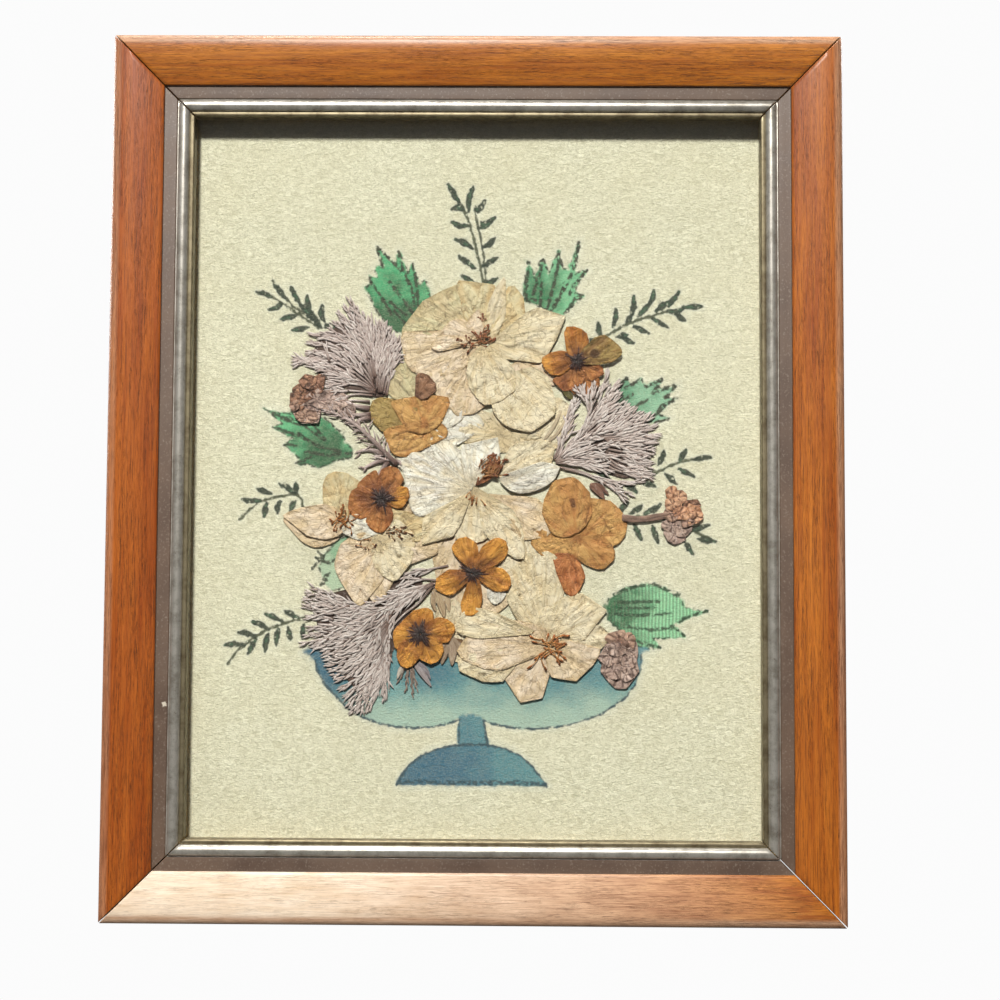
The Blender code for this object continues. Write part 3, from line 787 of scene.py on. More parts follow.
# Sprigs: a stem, then leaflets as short thick strokes that taper at both ends.
sprigs = [
    dict(stem=[(2.4, 65), (1.2, 71), (0, 76), (-1.2, 81), (-2.6, 86), (-4.6, 91), (-7.4, 96),
               (-10, 99.6)],
         second=[(3, 66), (2.4, 74), (0.8, 83), (-0.8, 90), (-0.6, 92)],
         leaflets=[[(-8.6, 86.7), (-6, 85.4), (-2.8, 85.3)], [(-7.6, 80.8), (-4.6, 79.6), (-1.6, 77.6)],
                   [(-6, 74.8), (-3.6, 73), (-0.6, 70.8)], [(-4.9, 68.2), (-2.8, 67), (-0.4, 65)],
                   [(2.6, 94.2), (1.2, 92), (0, 90)], [(6, 88.6), (3.4, 85.8), (1.2, 84.6)],
                   [(6.2, 81.4), (3.8, 78.8), (2, 78)],
                   [(6.8, 74.4), (4.4, 73), (2, 71.4)], [(6.8, 67.4), (4.8, 66), (2.6, 65)],
                   [(-1.4, 99.2), (-2.8, 95), (-3, 90.4)], [(-8.6, 91.2), (-6.4, 91.8), (-4.8, 91)],
                   [(-10, 99.6), (-8, 96.4), (-6, 93)], [(-1, 91.6), (0.2, 90.4)],
                   [(1.2, 86.8), (2.4, 85.6)]]),
    dict(stem=[(-75, 62.5), (-70, 61.2), (-66, 58.4), (-60, 54.4), (-53.4, 50)],
         second=[(-69.6, 66.2), (-66.4, 62), (-62.6, 57.6), (-56, 53), (-52.6, 50)],
         leaflets=[[(-75, 62.5), (-72.4, 61.8), (-70, 60.8)], [(-69.2, 65.2), (-67.4, 63), (-65.4, 60.4)],
                   [(-63.4, 64.4), (-62, 61.4), (-60.4, 58.6)], [(-60.4, 58.6), (-58, 56), (-53.4, 50.6)],
                   [(-57.8, 61), (-57.6, 58.4), (-56.8, 56)], [(-56.8, 56), (-53, 50.6)],
                   [(-52.6, 58), (-53, 55), (-51.6, 52.2)],
                   [(-70.6, 56.4), (-68.4, 56.9), (-66.4, 58.2)],
                   [(-66.6, 53.1), (-64.4, 53.6), (-61.4, 54.4)],
                   [(-62.6, 49.2), (-59.6, 49.8), (-57.2, 50.4)], [(-51.6, 50.4), (-50.2, 51.6)],
                   [(-48.2, 51.4), (-48.6, 48.4), (-47, 46.6)]]),
    dict(stem=[(43, 47), (46, 49), (50, 51.2), (55, 53.4), (60, 54.8), (65, 56.2), (70, 57.4),
               (76.4, 57.9)],
         leaflets=[[(41.4, 52.6), (41.4, 50), (42.4, 47.6)], [(47.2, 57), (47.4, 54), (46.2, 51)],
                   [(53.4, 61.4), (53.4, 57.6), (52.8, 55)], [(52.8, 55), (51, 52.6)],
                   [(60.3, 63.4), (59.8, 61), (58.8, 58.8)],
                   [(58.8, 58.8), (54.8, 54.6)], [(68.8, 63.2), (67, 60.4), (65.2, 58)],
                   [(65.4, 59.8), (60.8, 56.4)],
                   [(70, 57.6), (73, 57.8), (76.6, 58)], [(65, 56.4), (67.6, 56.2), (70, 57)],
                   [(67.2, 55.6), (69, 54.2), (70.8, 53.2)], [(59.8, 53.8), (62, 52.4), (64.8, 50.8)],
                   [(53.6, 51), (55.6, 50.2), (58.4, 48.8)], [(49.6, 47.8), (51.4, 46.4), (53.4, 45.3)],
                   [(47.6, 47.2), (49.6, 48), (51.6, 48.2)], [(38.6, 46), (39.6, 47)]]),
    dict(stem=[(54, -0.4), (60, 1), (65, 3.4), (70, 5.3), (75, 6.3), (79.4, 6.6)],
         leaflets=[[(63.6, 8.8), (63, 6.6), (61.6, 4)], [(71.2, 9.2), (69.6, 7), (68.8, 5)],
                   [(79.4, 6.6), (76.6, 6.6), (73.4, 5.8)],
                   [(68.6, 2.6), (71, 1.6), (73.8, 0)], [(64, 0.8), (66, -0.6), (67.6, -2.4)],
                   [(56, -2), (58.4, -2.4), (60.8, -3.4)],
                   [(41.4, 1.4), (43, 0.4), (45.2, -1)], [(50.6, -2.6), (52.4, -3.8), (54.4, -5.4)]]),
    dict(stem=[(54, -13.4), (60, -13.6), (66, -15), (72, -17.6), (80, -21.4)],
         leaflets=[[(51.4, -9), (49.6, -10.4), (48.6, -12.4)],
                   [(56.2, -9.8), (54.4, -11.2), (52.2, -12.6)],
                   [(62.4, -9.4), (60, -11.2), (57, -12.6)], [(53.6, -16.4), (54.6, -18.4), (56, -21.2)],
                   [(59.8, -16.8), (60.6, -19.4), (61.6, -22.4)], [(70.6, -22), (72, -24), (73.2, -26)],
                   [(73.4, -18), (76, -17), (78.8, -16.4)], [(74.8, -21), (77.4, -21.4), (80.8, -21.9)],
                   [(68, -17.6), (66.4, -20), (65.4, -22)]]),
    dict(stem=[(-79.6, -15), (-76, -11.6), (-73, -9), (-67, -7.4), (-60.6, -6.4), (-58.6, -8.4),
               (-58.4, -11)],
         leaflets=[[(-79, -8.4), (-76, -8.9), (-72.8, -8.9)], [(-74, -4.6), (-71.6, -5.6), (-69, -6.4)],
                   [(-66.6, -3), (-64, -4), (-61.6, -6)], [(-61, -2.6), (-60.6, -6)],
                   [(-71.4, -14.2), (-71.2, -12), (-70.6, -9.6)],
                   [(-67, -13), (-67, -11), (-66, -9)], [(-62.8, -12), (-61.8, -10.2), (-60.8, -8.8)]]),
    dict(stem=[(-83, -63.6), (-80, -59.4), (-75, -55.4), (-70, -52.2), (-64, -50), (-57, -48),
               (-50, -46.6)],
         leaflets=[[(-84.4, -57.6), (-81, -57), (-77.4, -57.4)],
                   [(-79.6, -53.2), (-77, -53.4), (-74, -54.4)],
                   [(-75, -49.6), (-72.6, -50.2), (-69.6, -51.8)],
                   [(-70.4, -47), (-68, -47.8), (-65, -49.4)],
                   [(-64, -45.8), (-62, -46.8), (-59.6, -48.2)],
                   [(-76.4, -60.4), (-75, -58), (-73.6, -55.4)],
                   [(-70.6, -59.4), (-70.4, -57), (-69.6, -53.8)],
                   [(-66.8, -57.4), (-66.8, -55), (-66, -52)],
                   [(-62, -55.6), (-62.4, -53.6), (-62.8, -51.4)],
                   [(-57.8, -55), (-57.8, -53), (-57.6, -50.6)]]),
]

bowl = {
    "edge": [(-50, -58), (-53.6, -62.4), (-53, -65.5), (-50.6, -70), (-47, -74), (-43, -78), (-38, -81),
             (-33, -83), (-27, -84.4), (-20, -84.8), (-13, -84.3), (-8, -83), (-4.6, -81.8), (-3, -80.6),
             (-0.8, -80), (1.4, -80.6), (3, -82), (6, -83.2), (12, -84.4), (20, -84.9), (28, -84.3),
             (35, -82.5), (43, -79.6), (50, -74.8), (53.6, -70.4), (55.6, -65), (56, -60), (50, -57)],
    "stem": [(-5, -80.6), (-3, -80.4), (-0.8, -80), (1.4, -80.4), (3.2, -82), (3.8, -86), (4.6, -90.6),
             (-5, -90.6)],
    "foot": [(-25.8, -103.6), (-24, -100), (-21.6, -97), (-17.6, -94), (-12, -91.6), (-5, -90.2),
             (4.4, -90.2), (10, -91.4), (15.6, -93.8), (19.6, -97.4), (22.4, -101), (24.4, -103.8),
             (12, -103.8), (0, -104), (-14, -103.8)],
    "deep": srgb(32, 99, 128), "mid": srgb(95, 158, 163), "pale": srgb(174, 201, 185),
}


def inkPaths():
    # every drawn line as (path, half width, broken share, colour, leaflet)
    found = []
    for leaf in leaves:
        outline = leaf["edge"] + leaf["edge"][:1]
        broken = leaf["ink"]["broken"] + 0.16
        found.append((outline, leaf["ink"]["wide"] * 0.62, broken, leaf["ink"]["ink"], False))
        found += [(vein, leaf["ink"]["wide"], leaf["ink"]["broken"], leaf["ink"]["ink"],
                   False) for vein in leaf["veins"]]
    for sprig in sprigs:
        found.append((sprig["stem"], 0.50, 0.22, srgb(52, 60, 30), False))
        if "second" in sprig:
            found.append((sprig["second"], 0.42, 0.22, srgb(46, 54, 30), False))
        found += [(leaflet, 0.95, 0.16, srgb(16, 38, 24), True) for leaflet in sprig["leaflets"]]
    found.append((bowl["edge"][1:13], 0.34, 0.30, cloth["blueInk"], False))
    found.append((bowl["edge"][16:-1], 0.34, 0.30, cloth["blueInk"], False))
    found.append((bowl["foot"][:11] + [bowl["foot"][11]], 0.36, 0.10, cloth["blueInk"], False))
    found.append(([(-24.6, -102.6), (-14, -102.8), (0, -103), (12, -102.8), (24, -103.2)], 0.75, 0.42,
                  cloth["blueInk"], False))
    found.append(([(-5, -82), (-5.1, -90.4)], 0.30, 0.1, cloth["blueInk"], False))
    found.append(([(3.3, -82.4), (4.5, -90.4)], 0.30, 0.1, cloth["blueInk"], False))
    return found


def fillLoops():
    loops = [np.array(leaf["edge"], float) for leaf in leaves]
    return loops + [curveThrough(bowl[part], 2.0, True) for part in ("edge", "stem", "foot")]


def near(points, path, reach):
    # picks out the points inside a path's box, grown by this much
    path = np.asarray(path, float)
    low, high = path.min(0) - reach, path.max(0) + reach
    return np.nonzero(((points > low) & (points < high)).all(1))[0]


def clothPoints(w, h):
    # close points where lines are drawn, wider ones in the dyed areas, and wide ones elsewhere
    fine = hexGrid(-w / 2 + 0.9, -h / 2 + 0.9, w / 2 - 0.9, h / 2 - 0.9, cloth["fine"], 3)
    keep = np.zeros(len(fine), bool)
    for path, half, *_ in inkPaths():
        picked = near(fine, path, half + 1.2)
        d = distanceTo(fine[picked, 0], fine[picked, 1], path)[0]
        keep[picked[d < half + cloth["fineReach"]]] = True
    for leaf in leaves:
        if "ribs" in leaf:
            picked = near(fine, leaf["edge"], 0.5)
            keep[picked[isInside(*fine[picked].T, np.array(leaf["edge"], float))]] = True
    middle = hexGrid(-w / 2 + 1, -h / 2 + 1, w / 2 - 1, h / 2 - 1, cloth["middle"], 4)
    keepMiddle = np.zeros(len(middle), bool)
    for loop in fillLoops():
        picked = near(middle, loop, 2.5)
        x, z = middle[picked].T
        keepMiddle[picked[isInside(x, z, loop) | (distanceTo(x, z, loop, True)[0] < 1.6)]] = True
    coarse = hexGrid(-w / 2 + 1, -h / 2 + 1, w / 2 - 1, h / 2 - 1, cloth["coarse"], 5)

    def clear(points, others, step):
        cells = {(int(a // step), int(b // step)) for a, b in others}
        return np.array([(int(a // step), int(b // step)) not in cells for a, b in points])

    fine = fine[keep]
    middle = middle[keepMiddle]
    middle = middle[clear(middle, fine, cloth["middle"])]
    coarse = coarse[clear(coarse, fine, cloth["coarse"] * 0.8)]
    coarse = coarse[clear(coarse, middle, cloth["coarse"] * 0.8)]
    return np.concatenate([fine, middle, coarse])


def layDyeAndShadow(dyeAndPaintedShadow, picked, colour, cover):
    # lays a colour over what is there, a dye or the painted shadow; the fourth number is how much of it
    # the cloth holds
    under = dyeAndPaintedShadow[picked]
    held = under[:, 3] + cover * (1 - under[:, 3])
    share = (cover / np.maximum(held, 1e-6))[:, None]
    mixed = under[:, :3] * (1 - share) + np.asarray(colour) * share
    dyeAndPaintedShadow[picked] = np.concatenate([mixed, held[:, None]], 1)


def layHalo(dyeAndPaintedShadow, points, path, reach, strength, closed=False):
    picked = near(points, path, reach)
    x, z = points[picked].T
    d = distanceTo(x, z, path, closed)[0]
    ragged = layeredNoise(x, z, 5.0, 91) * 1.6
    layDyeAndShadow(dyeAndPaintedShadow, picked, cloth["halo"], ramp(d - ragged, reach - 1.6, 0.2) * strength)


def dyeAndShadeCloth(points):
    dyeAndPaintedShadow = np.concatenate([np.tile(srgb(228, 221, 191), (len(points), 1)), np.zeros((len(points), 1))], 1)
    x, z = points.T
    # painted shadow: a ragged band along the top of the cloth is darkened where the top rail's lip casts
    # its shadow
    paintedLipShadow = ramp(z + 1.6 * layeredNoise(x, z, 6.0, 90), 115.2, 118.4) * 0.5
    layDyeAndShadow(dyeAndPaintedShadow, np.arange(len(points)), cloth["paintedLipShadow"], paintedLipShadow)
    for leaf in leaves:
        layHalo(dyeAndPaintedShadow, points, leaf["edge"], 3.8, 0.20, True)
    for sprig in sprigs:
        for path in [sprig["stem"]] + sprig["leaflets"]:
            layHalo(dyeAndPaintedShadow, points, path, 2.8, 0.16)
    for part in ("edge", "foot"):
        layHalo(dyeAndPaintedShadow, points, curveThrough(bowl[part], 3.0, True), 3.0, 0.32, True)
    for leaf in leaves:
        dyeLeaf(dyeAndPaintedShadow, points, leaf)
    dyeBowl(dyeAndPaintedShadow, points)
    for path, half, broken, ink, leaflet in inkPaths():
        picked = near(points, path, half + 0.8)
        x, z = points[picked].T
        d, _, along = distanceTo(x, z, path)
        if leaflet:
            half = half * (0.35 + 0.75 * np.sin(np.pi * np.clip(along * 0.92 + 0.04, 0, 1)) ** 0.8)
        wobble = (softNoise(x, z, 0.9, 21) - 0.5) * 0.62
        mask = ramp(d + wobble, half + 0.22, half - 0.16)
        gaps = ramp(softNoise(x, z, 0.75, 33) * 0.7 + softNoise(x, z, 0.42, 34) * 0.3, broken - 0.12,
                    broken + 0.10)
        layDyeAndShadow(dyeAndPaintedShadow, picked, ink, mask * gaps * (0.98 if leaflet else 0.94))
        if leaflet:
            middle = ramp(d, half * 0.8, 0.0) * ramp(softNoise(x, z, 1.3, 52), 0.55, 0.8)
            layDyeAndShadow(dyeAndPaintedShadow, picked, srgb(84, 140, 104), middle * 0.35)
    return dyeAndPaintedShadow


def dyeLeaf(dyeAndPaintedShadow, points, leaf):
    edge = np.array(leaf["edge"], float)
    picked = near(points, edge, 2.0)
    x, z = points[picked].T
    inside = isInside(x, z, edge)
    d = distanceTo(x, z, edge, True)[0]
    signed = np.where(inside, d, -d) + (softNoise(x, z, 1.6, 44) - 0.5) * 1.2
    far = np.hypot(x - leaf["foot"][0], z - leaf["foot"][1]) / leaf["reach"]
    blotch = layeredNoise(x, z, 3.4, 45)
    share = np.clip(ramp(far + (blotch - 0.5) * 0.9, 0.15, 1.0), 0, 1)[:, None]
    colour = np.array(leaf["deep"]) * (1 - share) + np.array(leaf["pale"]) * share
    if leaf.get("ribs"):
        rib = 0.5 + 0.5 * np.cos(2 * np.pi * x / 1.15 + 2 * softNoise(x, z, 5.0, 48))
        colour = colour * (1.22 - 0.72 * rib * ramp(blotch, 0.10, 0.5))[:, None]
    layDyeAndShadow(dyeAndPaintedShadow, picked, colour, ramp(signed, -0.5, 0.4) * (0.90 + 0.10 * softNoise(x, z, 0.8, 46)))


def dyeBowl(dyeAndPaintedShadow, points):
    outline = curveThrough(bowl["edge"], 1.5, True)
    picked = near(points, outline, 2.0)
    x, z = points[picked].T
    inside = isInside(x, z, outline)
    d = distanceTo(x, z, outline, True)[0]
    signed = np.where(inside, d, -d) + (softNoise(x, z, 2.0, 61) - 0.5) * 1.0
    upward = ramp(z + (layeredNoise(x, z, 9.0, 62) - 0.5) * 13, -80, -62)
    left = ramp(x, -30, -52) * 0.8
    right = ramp(x, 34, 54) * 0.45
    pool = ramp(np.hypot((x + 15) / 1.7, z + 66), 11, 1) * 0.75
    streaks = ramp(softNoise(x * 0.7 - z * 0.7, x * 0.1, 2.6, 64), 0.52, 0.74) * ramp(x, 30, 44) * 0.35
    deep = np.clip(np.maximum.reduce([upward * 0.42 + left, pool, right * upward + streaks]), 0, 1)[:,
                                                                                                    None]
    pale = ramp(layeredNoise(x, z, 7.0, 63) * 14 - z - 70, 2, 17)[:, None]
    colour = np.array(bowl["mid"]) * (1 - pale) + np.array(bowl["pale"]) * pale
    colour = colour * (1 - deep) + np.array(bowl["deep"]) * deep
    layDyeAndShadow(dyeAndPaintedShadow, picked, colour, ramp(signed, -0.4, 0.5) * (0.90 + 0.10 * softNoise(x, z, 0.9, 65)))
    for part, tone in (("stem", 0.25), ("foot", 0.0)):
        outline = curveThrough(bowl[part], 1.5, True)
        picked = near(points, outline, 2.0)
        x, z = points[picked].T
        inside = isInside(x, z, outline)
        d = distanceTo(x, z, outline, True)[0]
        signed = np.where(inside, d, -d) + (softNoise(x, z, 1.4, 71) - 0.5) * 0.5
        share = np.clip(ramp(x + (layeredNoise(x, z, 4.0, 72) - 0.5) * 16, -10, 20) * 0.72 + tone, 0,
                        1)[:, None]
        colour = np.array(bowl["deep"]) * (1 - share) + np.array(bowl["mid"]) * 0.95 * share
        layDyeAndShadow(dyeAndPaintedShadow, picked, colour, ramp(signed, -0.3, 0.4) * 0.94)


def makeCloth():
    w, h = sheetSize[0] / mm, sheetSize[1] / mm
    across, up = int(w / 1.7), int(h / 1.7)
    sides = [(-w / 2 + w * i / across, -h / 2) for i in range(across)]
    sides += [(w / 2, -h / 2 + h * i / up) for i in range(up)]
    sides += [(w / 2 - w * i / across, h / 2) for i in range(across)]
    sides += [(-w / 2, h / 2 - h * i / up) for i in range(up)]
    rim = np.array(sides)
    points = np.concatenate([rim, clothPoints(w, h)])
    found = geometry.delaunay_2d_cdt([Vector(p) for p in points], [], [], 0, 1e-7, True)
    flat = np.array([tuple(p) for p in found[0]])
    front = np.array(found[2])
    order = {given: i for i, sources in enumerate(found[3]) for given in sources}
    loop = [order[i] for i in range(len(rim))]
    x, z = flat.T
    inner = ramp(np.minimum(w / 2 - np.abs(x), h / 2 - np.abs(z)), 0.0, 3.0)
    lift = (layeredNoise(x, z, 7.0, 81) - 0.5) * 2 * cloth["wave"] * inner
    thick = (clothHigh.y - clothLow.y) / mm
    places = np.concatenate([np.stack([x, np.minimum(lift, 0.0), z], 1),
                             np.stack([rim[:, 0], np.full(len(rim), -thick), rim[:, 1]], 1)])
    count = len(flat)
    a, b, c = flat[front[:, 0]], flat[front[:, 1]], flat[front[:, 2]]
    turned = ((b - a)[:, 0] * (c - a)[:, 1] - (b - a)[:, 1] * (c - a)[:, 0]) < 0
    front[turned] = front[turned][:, ::-1]
    faces = front.tolist()
    total = len(rim)
    for i in range(total):
        k = (i + 1) % total
        faces.append([loop[k], loop[i], count + i, count + k])
    faces.append([count + i for i in range(total)][::-1])
    panel = meshPiece("dyedCloth", onSheet(places), faces)
    fixNormals(panel)
    dyeAndPaintedShadow = dyeAndShadeCloth(flat)
    plain = np.tile([*srgb(228, 221, 191), 0.0], (total, 1))
    storeColour(panel, "dyeAndPaintedShadow", np.concatenate([dyeAndPaintedShadow, plain]))
    panel.data.materials.append(clothFinish())
    standFor(panel, "cloth", "cloth_panel")
    print("cloth ready,", len(faces), "faces")


def clothFinish():
    # short felted nap: a mottled cream ground, wavy little ridges and speckled dye
    made, tree, shader = newMaterial("nappedCloth", Sheen_Weight=0.25, Sheen_Roughness=0.6,
                                     Specular_IOR_Level=0.15, Roughness=0.95)
    place = placeNode(tree)
    # the dye colours also hold the painted shadow under the top lip
    dyeAndPaintedShadow = attributeNode(tree, "dyeAndPaintedShadow")
    ridge = noiseNode(tree, stretched(tree, place, (620.0, 400.0, 1050.0)), 1.0, 4.0, 0.65, 1.2)
    nap = noiseNode(tree, stretched(tree, place, (1500.0, 1500.0, 2100.0)), 1.0, 3.0, 0.7)
    cloud = noiseNode(tree, place, 34.0, 4.0)
    ground = mixColour(tree, rampNode(tree, ridge, 0.36, 0.64), srgb(210, 203, 174), srgb(252, 246, 221))
    ground = mixColour(tree, rampNode(tree, nap, 0.55, 0.75, 0.0, 0.45), ground, srgb(182, 174, 147))
    ground = mixColour(tree, rampNode(tree, cloud, 0.40, 0.75, 0.0, 0.30), ground, srgb(225, 214, 178))
    soak = mathNode(tree, "ADD", rampNode(tree, nap, 0.30, 0.60, 0.84, 1.08),
                    rampNode(tree, ridge, 0.35, 0.65, -0.10, 0.06))
    hold = mathNode(tree, "MULTIPLY", dyeAndPaintedShadow.outputs["Alpha"], soak, clamp=True)
    tinted = mixColour(tree, rampNode(tree, nap, 0.35, 0.70, 0.0, 0.10), dyeAndPaintedShadow.outputs["Color"],
                       srgb(214, 210, 190))
    grit = rampNode(tree, noiseNode(tree, place, 1100.0, 4.0, 0.7), 0.50, 0.66, 0.0, 0.26)
    tinted = mixColour(tree, grit, tinted, mixColour(tree, 1.0, tinted, (0.45, 0.50, 0.55), "MULTIPLY"))
    tree.links.new(mixColour(tree, hold, ground, tinted), shader.inputs["Base Color"])
    height = mathNode(tree, "ADD", ridge, mathNode(tree, "MULTIPLY", nap, 0.55))
    bumpInto(tree, shader, height, 1.0, 0.52)
    return made


makeCloth()

# Each tint: the petal, its root, its edge, its blotches, and its creases; the crease colour is also used
# for spots and for painted shade in folds and pleats.
tints = {
    "cream": (srgb(236, 215, 192), srgb(217, 189, 151), srgb(190, 161, 120), srgb(219, 194, 157),
              srgb(117, 93, 61)),
    "pale": (srgb(235, 220, 192), srgb(222, 198, 157), srgb(193, 175, 141), srgb(225, 207, 172),
             srgb(115, 100, 72)),
    "white": (srgb(242, 236, 224), srgb(230, 212, 180), srgb(197, 188, 172), srgb(228, 220, 212),
              srgb(109, 100, 87)),
    "yellow": (srgb(220, 206, 169), srgb(209, 180, 133), srgb(183, 154, 108), srgb(211, 183, 136),
               srgb(115, 87, 54)),
    "veil": (srgb(209, 197, 159), srgb(201, 179, 142), srgb(169, 154, 114), srgb(202, 181, 145),
             srgb(99, 86, 61)),
    "ochre": (srgb(205, 159, 98), srgb(179, 117, 66), srgb(145, 101, 52), srgb(187, 132, 76),
              srgb(89, 51, 27)),
    "olive": (srgb(155, 130, 77), srgb(110, 64, 33), srgb(127, 102, 48), srgb(178, 151, 95),
              srgb(72, 44, 22)),
    "orange": (srgb(223, 159, 72), srgb(98, 52, 28), srgb(168, 108, 45), srgb(175, 108, 45),
               srgb(63, 32, 20)),
    "amber": (srgb(188, 127, 72), srgb(90, 49, 30), srgb(135, 82, 41), srgb(145, 84, 47),
              srgb(54, 27, 18)),
    "russet": (srgb(204, 137, 82), srgb(166, 99, 54), srgb(149, 92, 52), srgb(190, 121, 79),
               srgb(75, 40, 23)),
    "umber": (srgb(149, 110, 84), srgb(120, 82, 60), srgb(97, 67, 46), srgb(133, 91, 72),
              srgb(59, 37, 27)),
}
leafThick = 0.10


def joinLayers(layers):
    # layers of (points, faces, colours, vectors) as one set of arrays
    points, faces, colours, vectors, start = [], [], [], [], 0
    for layer in layers:
        points.append(layer[0])
        faces += [[start + i for i in face] for face in layer[1]]
        colours.append(layer[2])
        vectors.append(layer[3])
        start += len(layer[0])
    return np.concatenate(points), faces, np.concatenate(colours), np.concatenate(vectors)


def makePressed(name, layers, finish, slotName, *cadNodes):
    points, faces, colours, vectors = joinLayers(layers)
    points[:, 1] = np.clip(points[:, 1], 0.12, roomDeep - 0.08)
    piece = meshPiece(name, onSheet(points), faces)
    storeColour(piece, "tint", np.concatenate([colours, np.ones((len(colours), 1))], 1))
    storeVector(piece, "fibre", vectors)
    piece.data.materials.append(finish)
    standFor(piece, slotName, *cadNodes)
    return piece


def blend(a, b, share):
    share = np.clip(share, 0, 1)[:, None]
    return a * (1 - share) + np.asarray(b) * share


def fanTurn(petal, root, x, z):
    # the angle round the root, measured from the line to the petal's middle
    middle = np.mean(petal["edge"], 0) - root
    turn = np.arctan2(z - root[1], x - root[0]) - math.atan2(middle[1], middle[0])
    return (turn + np.pi) % (2 * np.pi) - np.pi


def fanFolds(petal, root, x, z, seed):
    # 0 to 1: sharp ridges that run out from the root
    away = np.hypot(x - root[0], z - root[1])
    across = fanTurn(petal, root, x, z) * max(away.mean(), 3.0)
    broad = softNoise(across, away * 0.24, 2.3, seed + 51)
    fine = softNoise(across, away * 0.30, 1.1, seed + 52)
    return 1 - 2 * np.abs(0.64 * broad + 0.36 * fine - 0.5)


def petalHeight(petal, root, x, z, edgeGap, outward, seed):
    crumple = petal.get("crumple", 0.20)
    height = petal["lift"] + (layeredNoise(x, z, petal.get("lump", 3.8), seed, 4) - 0.5) * 2 * crumple
    sharp = np.abs(softNoise(x, z, 2.9, seed + 41) - 0.5) + 0.5 * np.abs(softNoise(x, z, 1.4,
                                                                                   seed + 42) - 0.5)
    height -= petal.get("crisp", 0.14) * (1 - 4 * sharp.clip(0, 0.25))
    height += petal.get("fan", 0.55) * (fanFolds(petal, root, x, z, seed) - 0.7)
    height += petal.get("curl", 0.3) * ramp(edgeGap, 1.8, 0.0) * (softNoise(x, z, 2.8, seed + 5) - 0.3)
    height += petal.get("rise", 0.0) * outward
    if "pleats" in petal:
        height += petal["pleats"][1] * pleating(petal, x, z, seed) * outward
    return height


def pleating(petal, x, z, seed):
    # -1 to 1 across each radial pleat
    middle = np.mean(petal["edge"], 0)
    turn = np.arctan2(z - middle[1], x - middle[0])
    return np.sin(round(0.6 * petal["pleats"][0]) * turn + 10 * softNoise(x, z, 2.6, seed + 2))


def petalFolds(petal, x, z, height, shade):
    # creases are narrow valleys, ridges stand up, and a step lifts the left side of its path; creases,
    # slits and the low side of each step are also given painted shade
    for kind, amount, path in petal.get("folds", ()):
        path = curveThrough(path, 1.2)
        d, side, along = distanceTo(x, z, path)
        d = d + (softNoise(x, z, 1.1, 17) - 0.5) * 0.16
        fade = ramp(np.minimum(along, 1 - along), -0.02, 0.16)
        if kind == "crease":
            height -= amount * np.exp(-(d / 0.45) ** 2) * fade
            shade = np.maximum(shade, np.exp(-(d / 0.34) ** 2) * fade * min(1.0, amount * 3.0))
        elif kind == "ridge":
            height += amount * np.exp(-(d / 0.8) ** 2) * fade
        elif kind == "slit":
            height -= amount * np.exp(-(d / 0.6) ** 2) * fade
            shade = np.maximum(shade, ramp(d, 0.75 * np.sin(np.pi * along) + 0.2, 0.1) * 0.95)
        else:
            lifted = 0.5 + 0.5 * np.tanh(side * d / 0.28)
            height += amount * (lifted - 0.5) * np.exp(-d / 3.0) * fade
            dark = np.exp(-((d + 0.1 * side) / 0.30) ** 2) * (side < 0) * min(0.62, amount * 2.0)
            shade = np.maximum(shade, dark * fade)
    return height, shade


def growPetal(petal, root, seed):
    step = petal.get("step", 0.5)
    loop = curveThrough(petal["edge"], step * 0.85, True)
    middle = loop.mean(0)
    out = loop - middle
    out /= np.maximum(np.hypot(*out.T), 1e-6)[:, None]
    uneven = (layeredNoise(*loop.T, 3.0, seed, 3) - 0.5) * 2 * petal.get("ragged", 1.0)
    uneven -= ramp(softNoise(*loop.T, 1.1, seed + 1), 0.62, 0.92) * petal.get("nicks", 1.1)
    uneven += (0.25 - np.abs(layeredNoise(*loop.T, 1.7, seed + 60, 2) - 0.5)) * 2 * petal.get("torn", 1.1)
    loop = loop + out * uneven[:, None]
    low, high = loop.min(0), loop.max(0)
    inner = hexGrid(*low, *high, step, seed, 0.16)
    inner = inner[isInside(*inner.T, loop)]
    inner = inner[distanceTo(*inner.T, loop, True)[0] > step * 0.5]
    points = np.concatenate([loop, inner])
    ring = [(i, (i + 1) % len(loop)) for i in range(len(loop))]
    found = geometry.delaunay_2d_cdt([Vector(p) for p in points], ring, [], 1, 1e-6, False)
    flat = np.array([tuple(p) for p in found[0]])
    faces = np.array(found[2])
    a, b, c = flat[faces[:, 0]], flat[faces[:, 1]], flat[faces[:, 2]]
    area = (b - a)[:, 0] * (c - a)[:, 1] - (b - a)[:, 1] * (c - a)[:, 0]
    faces[area < 0] = faces[area < 0][:, ::-1]
    faces = faces[np.abs(area) > 1e-7]
    x, z = flat.T
    edgeGap = distanceTo(x, z, loop, True)[0]
    away = np.hypot(x - root[0], z - root[1])
    outward = away / max(away.max(), 1e-6)
    height = petalHeight(petal, root, x, z, edgeGap, outward, seed)
    creased = dict(petal, folds=list(petal.get("folds", ())) + wrinkles(petal, root, loop, seed))
    height, shade = petalFolds(creased, x, z, height, np.zeros(len(x)))
    colours = petalColours(petal, root, x, z, edgeGap, outward, shade, seed)
    turn = fanTurn(petal, root, x, z)
    vectors = np.stack([away, turn * max(away.mean(), 2.0), np.full(len(x), seed * 1.37 % 50)], 1)
    sides = {}
    for face in faces:
        for i in range(3):
            pair = (face[i], face[(i + 1) % 3])
            if pair[::-1] in sides:
                del sides[pair[::-1]]
            else:
                sides[pair] = True
    count = len(flat)
    height = np.clip(height, 0.2, roomDeep - 0.16)
    front = np.stack([x, height + leafThick / 2, z], 1)
    back = np.stack([x, height - leafThick / 2, z], 1)
    shell = faces.tolist() + (faces[:, ::-1] + count).tolist()
    shell += [[p, p + count, q + count, q] for p, q in sides]
    return (np.concatenate([front, back]), shell, np.concatenate([colours, colours * 0.9]),
            np.concatenate([vectors, vectors]))


